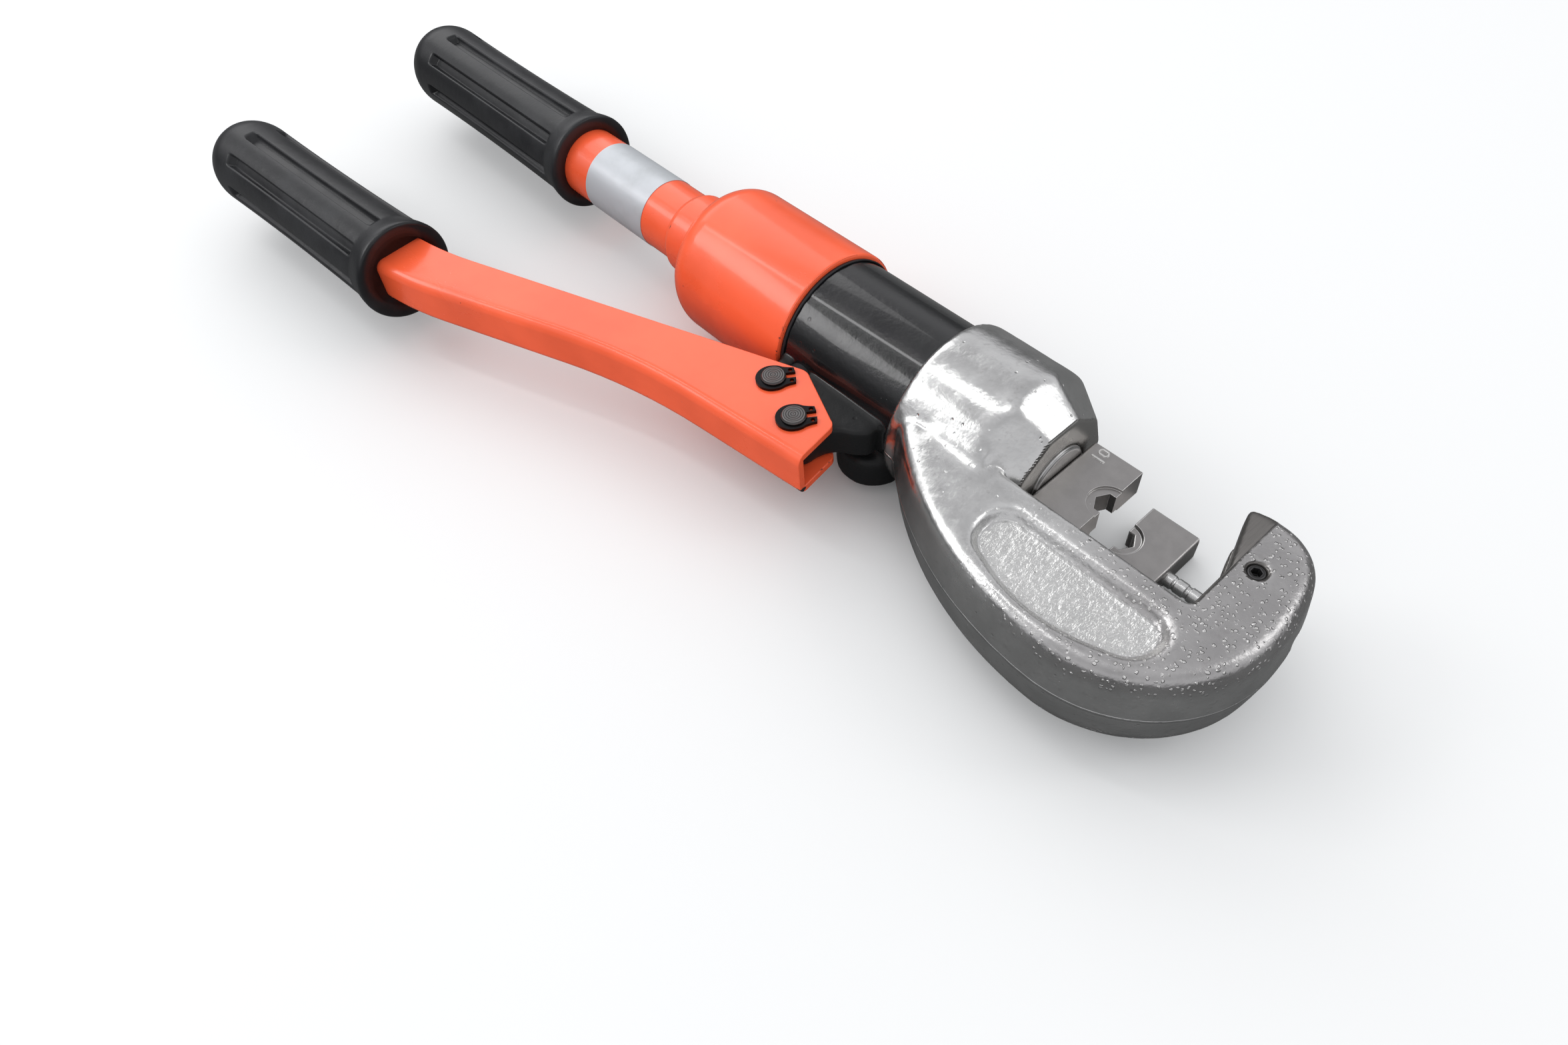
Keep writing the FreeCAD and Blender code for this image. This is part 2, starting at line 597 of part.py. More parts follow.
def die_stem(label, base, turn):
    """Turned stem with two ring grooves, pressed into a die's back."""
    return turned(label, [
        ("- stem_root", "0"), ("stem_long", "0"), ("stem_long", "stem_r - 0.7"),
        ("stem_long - 0.7", "stem_r"), ("stem_long - 4", "stem_r"),
        ("stem_long - 4.2", "stem_r - 0.35"), ("stem_long - 5.2", "stem_r - 0.35"),
        ("stem_long - 5.4", "stem_r"), ("3.4", "stem_r"), ("3.2", "stem_r - 0.3"),
        ("2.6", "stem_r - 0.3"), ("2.4", "stem_r"), ("- stem_root", "stem_r")][::-1],
        base, turn)


def raised_number(body):
    """The plain raised size number on the moving die."""
    level = amount("die_thick") / 2 - 0.2
    one = new_sketch(body)
    one.AttachmentOffset = Placement(Vector(0, 0, level), Rotation())
    closed_outline(one, [
        ("2.6", "10.5"), ("7", "10.5"), ("7", "11.2"), ("2.6", "11.2")])
    extrude(body, one, "digit_tall + 0.2")
    naught = new_sketch(body)
    naught.AttachmentOffset = Placement(Vector(0, 0, level), Rotation())
    closed_outline(naught, [
        ("3.9", "12.4"), ("5.7", "12.4", "1.45"), ("5.7", "15.0"), ("3.9", "15.0", "1.45")])
    closed_outline(naught, [
        ("3.9", "13.1"), ("5.7", "13.1", "0.75"), ("5.7", "14.3"), ("3.9", "14.3", "0.75")])
    extrude(body, naught, "digit_tall + 0.2")


def dies():
    """The moving die in the ram and the loose die lying beside it, with their stems."""
    forward = Rotation()
    back = Rotation(Vector(0, 0, 1), 180)
    moving = die("moving_die", ("ram_face_x", "0", "0"), forward)
    raised_number(moving)
    die_stem("moving_die_stem", ("ram_face_x", "0", "0"), back)
    loose = ("loose_x + die_long", "loose_y", "rest_z + 4.45")
    die("loose_die", loose, back)
    die_stem("loose_die_stem", loose, forward)


def reservoir():
    """Shell with rounded shoulder and neck, handle tube, bladder, gasket, spindle and label."""
    turned("reservoir_shell", [
        ("shell_x", "shell_mouth_r"), ("shell_x", "shell_r - 0.5"), ("shell_x - 0.5", "shell_r"),
        ("shoulder_x", "shell_r", "11.8"), ("shoulder_end_x", "neck_low_r"),
        ("shoulder_end_x - 2.4", "neck_low_r"), ("shoulder_end_x - 3.4", "neck_r"),
        ("neck_x + 2.5", "neck_r"), ("neck_x + 0.6", "neck_r - 0.9"), ("neck_x", "tube_r + 0.3"),
        ("neck_x", "tube_plug_r + 0.02"), ("tube_plug_x + 0.5", "tube_plug_r + 0.02"),
        ("tube_plug_x + 0.5", "spindle_r + 0.3"), ("shoulder_end_x + 4", "spindle_r + 0.3"),
        ("shoulder_end_x + 6", "shell_bore_r - 7"), ("shoulder_x - 1", "shell_bore_r"),
        ("shell_land_x", "shell_bore_r"), ("shell_land_x", "shell_mouth_r")])
    turned("handle_tube", [
        ("tube_plug_x", "spindle_r + 0.02"), ("tube_plug_x", "tube_plug_r"),
        ("neck_x", "tube_plug_r"), ("neck_x", "tube_r"), ("tube_end_x", "tube_r"),
        ("tube_end_x", "tube_bore_r"), ("neck_x - 2", "tube_bore_r"),
        ("neck_x - 2", "spindle_r + 0.02")])
    turned("label_band", [
        ("label_rear_x", "tube_r + 0.02"), ("label_front_x", "tube_r + 0.02"),
        ("label_front_x", "tube_r + label_thick"), ("label_rear_x", "tube_r + label_thick")])
    turned("shell_gasket", [
        ("shell_x + 0.15", "cyl_r + 0.15"), ("shell_x + 0.15 + gasket_thick", "cyl_r + 0.15"),
        ("shell_x + 0.15 + gasket_thick", "cyl_r + 0.8"), ("shell_x + 0.55", "shell_r - 0.7"),
        ("shell_x + 0.15", "shell_r - 0.7")])
    turned("oil_bladder", [
        ("spigot_x - 0.1", "hub_r + 0.02"), ("spigot_x - 0.1", "bladder_r"),
        ("bladder_end_x", "bladder_r"), ("bladder_end_x", "spindle_r + 1.5"),
        ("hub_x - 1", "spindle_r + 1.5"), ("hub_x - 1", "spindle_r + 1.5 + rubber"),
        ("bladder_end_x + rubber", "spindle_r + 1.5 + rubber"),
        ("bladder_end_x + rubber", "bladder_r - rubber"),
        ("spigot_x - 0.1 - rubber", "bladder_r - rubber"),
        ("spigot_x - 0.1 - rubber", "hub_r + 0.02")])
    turned("release_spindle", [
        ("neck_x - 2", "0"), ("valve_x + 1", "0"), ("valve_x - 2", "spindle_r"),
        ("neck_x - 2", "spindle_r")])


def grip(label, base, turn):
    """Ribbed rubber grip with a smooth collar and a rounded end."""
    body = turned(label, [
        ("0", "grip_bore_r + 1.2"), ("0", "grip_collar_r - 1.2"), ("- 1.2", "grip_collar_r"),
        ("- 15.5", "grip_collar_r - 0.6"), ("- 19", "grip_waist_r"),
        ("15 - grip_long", "grip_tail_r", "15.5"), ("- grip_long", "5"), ("- grip_long", "0"),
        ("10 - grip_long", "0"), ("10 - grip_long", "grip_bore_r"), ("- 1.6", "grip_bore_r"),
        ("- 1.6", "grip_bore_r + 1.2")], base, turn)
    flute = new_sketch(body, "XZ_Plane")
    closed_outline(flute, [
        ("flute_tail - grip_long", "flute_floor_r + 1.2"),
        ("flute_tail - grip_long + 2.5", "flute_floor_r"),
        ("- flute_front - 1.5", "flute_floor_r"), ("- flute_front", "flute_floor_r + 1.5"),
        ("- flute_front", "grip_collar_r + 7"), ("flute_tail - grip_long", "grip_collar_r + 7")])
    first = extrude(body, flute, "flute_wide", cut=True, both=True)
    ring = body.newObject("PartDesign::PolarPattern", label + "_flutes")
    ring.Originals = [first]
    ring.Axis = (origin_part(body, "X_Axis"), [""])
    ring.Angle = 360.0
    ring.Occurrences = 8
    body.Tip = ring
    doc.recompute()
    return body


def from_fulcrum(along, aside, *bulge):
    """A corner of the lever's outline, measured from the fulcrum pin."""
    return ("fulcrum_x + %g" % along, "fulcrum_y + %g" % aside) + bulge


def lever():
    """Folded channel lever, open towards the cylinder."""
    body = new_body("lever")
    plate = new_sketch(body)
    closed_outline(plate, [
        ("lever_end_x", "lever_end_y - 9.55"),
        from_fulcrum(-170.7, -55.2, "133.4"), from_fulcrum(-134.7, -47.2),
        from_fulcrum(-84.7, -28.5, "- 232"), from_fulcrum(-29.7, -15.3),
        from_fulcrum(12.9, -10.3), from_fulcrum(10.6, 5, "3.5"), from_fulcrum(8.2, 7.5),
        from_fulcrum(-9.7, 15.5, "5"), from_fulcrum(-14.4, 15.8),
        from_fulcrum(-137.7, -28.8, "- 133.4"), from_fulcrum(-170.7, -36.1),
        ("lever_end_x", "lever_end_y + 9.55")])
    extrude(body, plate, "lever_half + lever_half", both=True)
    round_edges(body, is_lever_bend, "bend_r")
    inside = new_sketch(body)
    closed_outline(inside, [
        ("lever_end_x - 4", "lever_end_y - 7.36"),
        from_fulcrum(-170.7, -52.7, "130.9"), from_fulcrum(-134.7, -44.55),
        from_fulcrum(-84.7, -25.9, "- 234.5"), from_fulcrum(-29.7, -12.8),
        from_fulcrum(20.8, -6.8), from_fulcrum(20.8, 22.4),
        ("lever_end_x - 4", "fulcrum_y + 22.4")])
    extrude(body, inside, "lever_half + lever_half - sheet - sheet", cut=True, both=True)
    for pin in ("fulcrum", "crank"):
        hole = new_sketch(body)
        add_circle(hole, (pin + "_x", pin + "_y"), "pin_r")
        extrude(body, hole, "40", cut=True, both=True)
    return body


def is_lever_bend(edge):
    """True for the two long folded edges of the channel."""
    box = edge.BoundBox
    if box.ZLength > 0.01 or abs(abs(box.ZMin) - amount("lever_half")) > 0.01:
        return False
    middle = edge.CenterOfMass
    tail = max(0.0, (amount("fulcrum_x") - 29.2 - middle.x) * 0.22)
    return box.XLength > 8 and middle.y < amount("fulcrum_y") - 9.6 - tail


def pin(label, centre):
    """Black pin with a circlip groove near each end."""
    groove = "clip_low_z + clip_thick + 0.05"
    corners = [("- pin_half", "0"), ("- pin_half", "pin_r - 0.5"), ("0.5 - pin_half", "pin_r")]
    corners += [("- clip_low_z - clip_thick - 0.05", "pin_r"),
                ("- clip_low_z - clip_thick - 0.05", "pin_groove_r"),
                ("0.02 - clip_low_z", "pin_groove_r"), ("0.02 - clip_low_z", "pin_r")]
    corners += [("clip_low_z - 0.02", "pin_r"), ("clip_low_z - 0.02", "pin_groove_r"),
                (groove, "pin_groove_r"), (groove, "pin_r")]
    corners += [("pin_half - 0.5", "pin_r"), ("pin_half", "pin_r - 0.5"), ("pin_half", "0")]
    return turned(label, corners, (centre + "_x", centre + "_y", "0"), ALONG_Z)


def beside(pin, along, aside):
    """A point near a pin, measured along and across its circlip's opening."""
    turn = Rotation(Vector(0, 0, 1), amount("clip_turn"))
    away = turn.multVec(Vector(amount(along), amount(aside), 0))
    return "%s_x + %.4f" % (pin, away.x), "%s_y + %.4f" % (pin, away.y)


def circlips():
    """Four equal circlips with eyed lugs, two on each pin."""
    body = new_body("circlips")
    body.AllowCompound = True
    rings = new_sketch(body, lift="clip_low_z")
    lugs = new_sketch(body, lift="clip_low_z")
    gaps = new_sketch(body, lift="clip_low_z - 1")
    for pin in ("fulcrum", "crank"):
        add_circle(rings, (pin + "_x", pin + "_y"), "clip_r")
        add_circle(rings, (pin + "_x", pin + "_y"), "pin_groove_r + 0.02")
        closed_outline(gaps, [
            beside(pin, "0", "- 1.1"), beside(pin, "9", "- 1.1"), beside(pin, "9", "1.1"),
            beside(pin, "0", "1.1")])
        for side in ("", "- "):
            closed_outline(lugs, [
                beside(pin, "3.6", side + "0.9"), beside(pin, "clip_r + 1.5", side + "0.9"),
                beside(pin, "clip_r + 1.2", side + "3.4"), beside(pin, "3.6", side + "4.1")])
            add_circle(gaps, beside(pin, "clip_r - 0.1", side + "2.3"), "0.65")
    extrude(body, rings, "clip_thick")
    extrude(body, lugs, "clip_thick")
    extrude(body, gaps, "clip_thick + 2", cut=True, back=True)
    both = body.newObject("PartDesign::Mirrored", "clip_pairs")
    both.TransformMode = "Whole shape"
    both.MirrorPlane = (origin_part(body, "XY_Plane"), [""])
    body.Tip = both
    doc.recompute()
    return body


def plunger():
    """Pump plunger with a slotted eye, and its seal in the pump block."""
    body = new_body("pump_plunger", ("crank_x", "crank_y", "0"))
    revolve(body, [
        ("0", "0"), ("plunger_r", "0"), ("plunger_r", "plunger_end - 0.8"),
        ("plunger_r - 0.8", "plunger_end"), ("0", "plunger_end")], axis="V_Axis")
    eye = new_sketch(body)
    closed_outline(eye, [
        ("- eye_slot - eye_slot", "- eye_r"), ("0", "- eye_r", "eye_r"), ("0", "eye_r"),
        ("- eye_slot - eye_slot", "eye_r", "eye_r")])
    extrude(body, eye, "eye_half + eye_half", both=True)
    slot = new_sketch(body)
    closed_outline(slot, [
        ("- eye_slot - eye_slot", "- eye_slot_half"), ("0", "- eye_slot_half", "eye_slot_half"),
        ("0", "eye_slot_half"), ("- eye_slot - eye_slot", "eye_slot_half", "eye_slot_half")])
    extrude(body, slot, "40", cut=True, both=True)
    seal = new_body("plunger_seal", ("crank_x", "seal_y", "0"))
    revolve(seal, [
        ("plunger_r + 0.03", "0"), ("plunger_r + 0.03", "- seal_wide"),
        ("seal_groove_r", "- seal_wide"), ("seal_groove_r", "0")], axis="V_Axis")


def report_faults():
    """Stops the build if any feature or solid is broken."""
    for body in NODES:
        for item in body.Group:
            if "Invalid" in item.State or "Error" in item.State or "Touched" in item.State:
                raise RuntimeError("%s: %s" % (item.Label, item.getStatusString()))
        if body.Shape.isNull() or not body.Shape.isValid() or not body.Shape.Solids:
            raise RuntimeError(body.Label + " has no valid solid")


def main():
    """Builds every piece and writes one STEP file for each."""
    build_sheet()
    head()
    grub_and_ball()
    cylinder()
    relief_plug()
    ram_parts()
    dies()
    reservoir()
    grip("rear_grip", ("grip_x", "0", "0"), Rotation())
    lever()
    slant = Rotation(Vector(0, 0, 1), amount("lever_grip_deg"))
    grip("lever_grip", ("lever_grip_x", "lever_grip_y", "0"), slant)
    pin("fulcrum_pin", "fulcrum")
    pin("plunger_pin", "crank")
    circlips()
    plunger()
    doc.recompute()
    report_faults()
    os.makedirs("parts", exist_ok=True)
    for body in NODES:
        body.Shape.exportStep("parts/" + body.Label + ".step")


main()
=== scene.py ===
"""Dresses the hydraulic crimping tool: forged head, pump cylinder, dies, handles and grips.

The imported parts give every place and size. Each sub-assembly is a class that builds its
pieces and gives them their finishes; the studio comes last.
"""
import logging
from dataclasses import dataclass
from enum import Enum
from math import asin, cos, radians, sin, tau

import bmesh
import bpy
import numpy as np
from bmesh.types import BMesh, BMVert
from bpy.types import ID, Material, Mesh, Node, NodeSocket, NodeTree, Object
from mathutils import Matrix, Vector, noise


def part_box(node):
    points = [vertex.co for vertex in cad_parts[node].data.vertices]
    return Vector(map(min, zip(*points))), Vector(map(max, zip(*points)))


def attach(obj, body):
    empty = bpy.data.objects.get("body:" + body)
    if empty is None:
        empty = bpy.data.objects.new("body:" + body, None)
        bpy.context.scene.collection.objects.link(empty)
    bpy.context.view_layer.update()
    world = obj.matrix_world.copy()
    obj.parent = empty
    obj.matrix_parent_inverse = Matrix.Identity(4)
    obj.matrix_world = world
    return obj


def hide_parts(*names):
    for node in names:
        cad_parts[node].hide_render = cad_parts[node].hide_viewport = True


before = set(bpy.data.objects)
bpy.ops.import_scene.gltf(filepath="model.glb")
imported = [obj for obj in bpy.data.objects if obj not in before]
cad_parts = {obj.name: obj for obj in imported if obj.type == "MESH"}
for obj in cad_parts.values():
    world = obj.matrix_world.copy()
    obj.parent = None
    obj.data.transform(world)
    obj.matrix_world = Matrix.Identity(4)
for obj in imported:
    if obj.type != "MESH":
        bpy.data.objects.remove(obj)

LOG = logging.getLogger("crimping_tool")
MM = 0.001
Colour = tuple[float, float, float]
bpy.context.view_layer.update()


# ---- finishes


class Net:
    """A node tree, built with short calls."""

    def __init__(self, tree: NodeTree) -> None:
        """Empties a tree and takes hold of it."""
        self.tree = tree
        self.nodes, self.links = tree.nodes, tree.links
        self.nodes.clear()

    def node(self, kind: str, settings: dict | None = None, **values) -> Node:
        """Adds a node.

        Args:
            kind: the node's Blender type.
            settings: properties set on the node itself.
            values: input name, with _ for a space, or i and its number, to a value or a socket.

        Returns:
            The new node.
        """
        made = self.nodes.new(kind)
        for key, value in (settings or {}).items():
            setattr(made, key, value)
        for key, value in values.items():
            known = int(key[1:]) if key[0] == "i" and key[1:].isdigit() else key.replace("_", " ")
            self.feed(made.inputs[known], value)
        return made

    def feed(self, socket: NodeSocket, value) -> None:
        """Links a socket to another one, or sets its value."""
        if isinstance(value, NodeSocket):
            self.links.new(value, socket)
        elif isinstance(value, tuple) and len(value) == 3 and socket.type == "RGBA":
            socket.default_value = (*value, 1.0)
        else:
            socket.default_value = value

    def math(self, operation: str, first, second=0.0):
        """Adds a math node and returns its value."""
        return self.node("ShaderNodeMath", {"operation": operation}, i0=first,
                         i1=second).outputs[0]

    def times(self, *factors):
        """The product of sockets and numbers."""
        made = factors[0]
        for factor in factors[1:]:
            made = self.math("MULTIPLY", made, factor)
        return made

    def plus(self, first, *others):
        """The sum of sockets and numbers."""
        for other in others:
            first = self.math("ADD", first, other)
        return first

    def inverse(self, share):
        """1 less a share."""
        return self.math("SUBTRACT", 1.0, share)

    def between(self, value, low: float, high: float, start=0.0, end=1.0):
        """Smooth step: start below low, end above high."""
        return self.node("ShaderNodeMapRange", {"interpolation_type": "SMOOTHSTEP"}, Value=value,
                         From_Min=low, From_Max=high, To_Min=start, To_Max=end).outputs[0]


class Graph(Net):
    """One material's node tree."""

    def __init__(self, name: str) -> None:
        """Starts a material with one Principled shader on its output."""
        self.material = bpy.data.materials.new(name)
        self.material.use_nodes = True
        super().__init__(self.material.node_tree)
        self.shader = self.node("ShaderNodeBsdfPrincipled")
        self.node("ShaderNodeOutputMaterial", Surface=self.shader.outputs[0])
        self.place = self.node("ShaderNodeTexCoord").outputs["Object"]

    def mix(self, share, first, second):
        """Blends two colours by a share from 0 to 1."""
        return self.node("ShaderNodeMix", {"data_type": "RGBA"}, i0=share, i6=first,
                         i7=second).outputs[2]

    def stretch(self, scale: tuple, shift: tuple = (0.0, 0.0, 0.0)):
        """Object coordinates with each axis scaled, then shifted."""
        return self.node("ShaderNodeMapping", Vector=self.place, Scale=scale,
                         Location=shift).outputs[0]

    def cloud(self, scale: float, detail: float = 3.0, rough: float = 0.5, at=None):
        """Soft noise around 0.5, with features about 1/scale metres across."""
        return self.node("ShaderNodeTexNoise", Vector=at or self.place, Scale=scale,
                         Detail=detail, Roughness=rough).outputs[0]

    def spots(self, scale: float, at=None):
        """Distance from the nearest of many scattered points, 0 at a point."""
        return self.node("ShaderNodeTexVoronoi", Vector=at or self.place,
                         Scale=scale).outputs["Distance"]

    def sprinkle(self, scale: float, core: float, rim: float, patches):
        """Small round spots, 1 in their middles, only where the patches are."""
        return self.times(self.between(self.spots(scale), core, rim, 1.0, 0.0), patches)

    def marked(self, name: str):
        """A number that the mesh holds, such as rim on an eased piece's roundings."""
        return self.node("ShaderNodeAttribute", {"attribute_name": name}).outputs["Fac"]

    def relief(self, *layers: tuple):
        """Stacks bumps, each a height from 0 to 1 and its depth in metres, into a normal."""
        under = {}
        for height, depth, *strength in layers:
            made = self.node("ShaderNodeBump", Height=height, Distance=depth,
                             Strength=(strength or [1.0])[0], **under)
            under = {"Normal": made.outputs[0]}
        return made.outputs[0]

    def axis(self, name: str):
        """One object coordinate, X, Y or Z."""
        return self.node("ShaderNodeSeparateXYZ", Vector=self.place).outputs[name]

    def finish(self, **values) -> Material:
        """Sets the shader's inputs and returns the material."""
        for key, value in values.items():
            self.feed(self.shader.inputs[key.replace("_", " ")], value)
        return self.material


@dataclass(frozen=True)
class GlossPaint:
    """Stoved gloss paint with orange peel, faint scuffs and chips on its edges."""

    name: str
    colour: Colour
    under: Colour = (0.02, 0.016, 0.015)
    peel_depth: float = 0.05 * MM
    chip_share: float = 0.62
    chip_at: tuple | None = None
    chip_size: tuple = (1.5 * MM, 2.6 * MM, 1.1 * MM)

    def material(self) -> Material:
        """Builds the paint."""
        g = Graph(self.name)
        light = tuple(min(1.0, c * 1.05 + 0.004) for c in self.colour)
        deep = tuple(c * 0.90 for c in self.colour)
        colour = g.mix(g.between(g.cloud(28.0, 4.0), 0.35, 0.65), deep, light)
        nibble = g.between(g.cloud(650.0, 4.0, 0.6), self.chip_share, self.chip_share + 0.03)
        patch = g.between(g.cloud(45.0, 2.0), 0.52, 0.60)
        chip = g.times(g.marked("rim"), nibble, patch)
        specks = g.sprinkle(210.0, 0.035, 0.05, g.between(g.cloud(70.0, 2.0), 0.56, 0.60))
        chip = g.math("MAXIMUM", chip, g.times(specks, 0.75))
        if self.chip_at:
            shift = tuple(-p / s for p, s in zip(self.chip_at, self.chip_size))
            away = g.node("ShaderNodeVectorMath", {"operation": "LENGTH"},
                          i0=g.stretch(tuple(1.0 / s for s in self.chip_size), shift))
            ragged = g.plus(away.outputs["Value"], g.times(g.cloud(900.0, 3.0), 0.7))
            chip = g.math("MAXIMUM", chip, g.between(ragged, 1.25, 1.40, 1.0, 0.0))
        colour = g.mix(chip, colour, self.under)
        scuff = g.between(g.cloud(60.0, 5.0, 0.6, g.stretch((0.35, 1.0, 1.0))), 0.50, 0.72)
        roughness = g.plus(0.24, g.times(scuff, 0.14), g.times(chip, 0.35))
        normal = g.relief((g.cloud(330.0, 2.0), self.peel_depth),
                          (g.cloud(55.0, 2.0), 0.10 * MM), (g.inverse(chip), 0.10 * MM))
        return g.finish(Base_Color=colour, Roughness=roughness, Normal=normal,
                        Coat_Weight=0.30, Coat_Roughness=0.10, Specular_IOR_Level=0.45)


@dataclass(frozen=True)
class BlackCasting:
    """Black enamel: glossy with runs and pits on the barrel, satin and grainy elsewhere."""

    name: str
    barrel_r: float
    colour: Colour = (0.0065, 0.0068, 0.0075)
    cast: Colour = (0.011, 0.0115, 0.012)

    def material(self) -> Material:
        """Builds the enamel."""
        g = Graph(self.name)
        squares = (g.math("POWER", g.axis(name), 2.0) for name in "YZ")
        radius = g.math("SQRT", g.plus(*squares))
        near = g.math("ABSOLUTE", g.math("SUBTRACT", radius, self.barrel_r))
        barrel = g.between(near, 0.15 * MM, 0.35 * MM, 1.0, 0.0)
        runs = g.cloud(75.0, 3.0, 0.55, g.stretch((1.0, 0.45, 0.45)))
        pits = g.between(g.spots(150.0), 0.06, 0.13)
        pitted = g.math("MAXIMUM", pits, g.between(g.cloud(40.0, 2.0), 0.50, 0.58, 1.0, 0.0))
        normal = g.relief((runs, 0.22 * MM), (pitted, 0.12 * MM),
                          (g.cloud(620.0, 5.0, 0.65), 0.16 * MM, 0.6))
        dust = g.sprinkle(480.0, 0.05, 0.08, g.between(g.cloud(110.0, 2.0), 0.58, 0.64))
        colour = g.mix(g.times(dust, 0.35), self.colour, (0.22, 0.22, 0.22))
        colour = g.mix(g.times(g.inverse(barrel), 0.8), colour, self.cast)
        pointed = g.node("ShaderNodeNewGeometry").outputs["Pointiness"]
        worn = g.times(g.between(pointed, 0.54, 0.66), g.between(g.cloud(200.0), 0.5, 0.7))
        colour = g.mix(g.times(worn, 0.5), colour, (0.10, 0.10, 0.10))
        blot = g.times(g.between(g.cloud(55.0, 4.0), 0.4, 0.65), 0.12)
        roughness = g.plus(0.36, blot, g.times(barrel, -0.25))
        shine = g.plus(0.30, g.times(barrel, 0.15))
        return g.finish(Base_Color=colour, Roughness=roughness, Normal=normal,
                        Specular_IOR_Level=shine, Coat_Weight=g.times(barrel, 0.6),
                        Coat_Roughness=0.06)


@dataclass(frozen=True)
class PlatedForging:
    """Zinc-plated forging: matte lumps, pits, painted glints and painted shade on the jaw, and
    brushed machined faces, darker by painted shade towards the jaw.
    """

    name: str
    colour: Colour = (0.80, 0.80, 0.79)
    ground: Colour = (0.50, 0.49, 0.47)
    # Painted shade: a darker colour for milled faces towards the jaw.
    shaded_ramp: Colour = (0.24, 0.23, 0.22)
    recess: Colour = (0.84, 0.84, 0.82)
    # Painted shade: a darker colour for the jaw's rough skin.
    jaw_painted_shade: Colour = (0.34, 0.32, 0.32)
    # Painted glints: a near-white colour for small spots on the jaw.
    glint_spot: Colour = (0.95, 0.94, 0.92)

    def material(self) -> Material:
        """Builds the plating; the mesh says what is milled, rough and cupped."""
        g = Graph(self.name)
        milled = g.marked("milled")
        rough = g.marked("rough")
        skin = g.inverse(milled)
        mottle = g.between(g.cloud(85.0, 5.0, 0.6), 0.34, 0.66)
        colour = g.mix(mottle, tuple(c * 0.88 for c in self.colour), self.colour)
        stain = g.between(g.cloud(420.0, 4.0, 0.65), 0.56, 0.72)
        colour = g.mix(g.times(stain, 0.16), colour, (0.28, 0.26, 0.24))
        cupped = g.marked("cupped")
        colour = g.mix(g.times(cupped, 0.6), colour, self.recess)
        astray = g.node("ShaderNodeTexNoise", Vector=g.place, Scale=900.0, Detail=2.0)
        wander = g.node("ShaderNodeVectorMath", {"operation": "MULTIPLY_ADD"},
                        i0=astray.outputs["Color"], i1=(0.9 * MM,) * 3, i2=g.place).outputs[0]
        jaw = g.between(g.axis("X"), -42.0 * MM, -8.0 * MM, 0.12, 1.0)
        jaw = g.times(jaw, g.inverse(cupped))
        # The jaw's rough faces take a darker colour: painted shade standing for the dark
        # reflection they show.
        jaw_shade_share = g.times(jaw, rough, 0.5)
        colour = g.mix(jaw_shade_share, colour, self.jaw_painted_shade)
        # Painted glints: small spots on the jaw's rough faces are made nearly white; the same
        # spots are also pressed in as small dents.
        glint_spot = g.between(g.spots(640.0, at=wander), 0.20, 0.34, 1.0, 0.0)
        crowd = g.between(g.cloud(260.0, 4.0, 0.65), 0.36, 0.46)
        glint_spot = g.times(glint_spot, crowd, jaw, rough)
        colour = g.mix(g.times(glint_spot, 0.9), colour, self.glint_spot)
        # Painted shade: milled faces towards the jaw take a much darker colour than the other
        # milled faces.
        ground = g.mix(g.between(g.axis("X"), -30 * MM, -20 * MM), self.ground, self.shaded_ramp)
        colour = g.mix(milled, colour, ground)
        ripples = g.cloud(640.0, 3.0, 0.55, g.stretch((1.0, 0.55, 0.55)))
        holes = g.between(g.spots(260.0), 0.04, 0.15)
        holes = g.math("MAXIMUM", holes, g.between(g.cloud(95.0, 3.0), 0.46, 0.54, 1.0, 0.0))
        lines = g.cloud(1500.0, 3.0, 0.6, g.stretch((1.0, 0.08, 1.0)))
        coarse = g.times(skin, g.plus(0.35, g.times(rough, 0.65)))
        seam = g.between(g.math("ABSOLUTE", g.axis("Z")), 0.25 * MM, 0.6 * MM, 1.0, 0.0)
        normal = g.relief(
            (g.times(g.cloud(120.0, 3.0, 0.5), skin), 0.12 * MM),
            (g.times(g.cloud(480.0, 4.0, 0.6), coarse), 0.15 * MM),
            (g.times(ripples, cupped), 0.75 * MM), (g.times(holes, skin), 0.16 * MM),
            (g.times(glint_spot, skin), 0.26 * MM), (g.times(lines, milled), 0.05 * MM),
            (g.times(seam, skin), 0.22 * MM))
        roughness = g.plus(0.14, g.times(mottle, 0.06), g.times(g.cloud(700.0, 3.0), 0.10),
                           g.times(rough, 0.06), g.times(milled, 0.06))
        return g.finish(Base_Color=colour, Metallic=1.0, Roughness=roughness, Normal=normal)


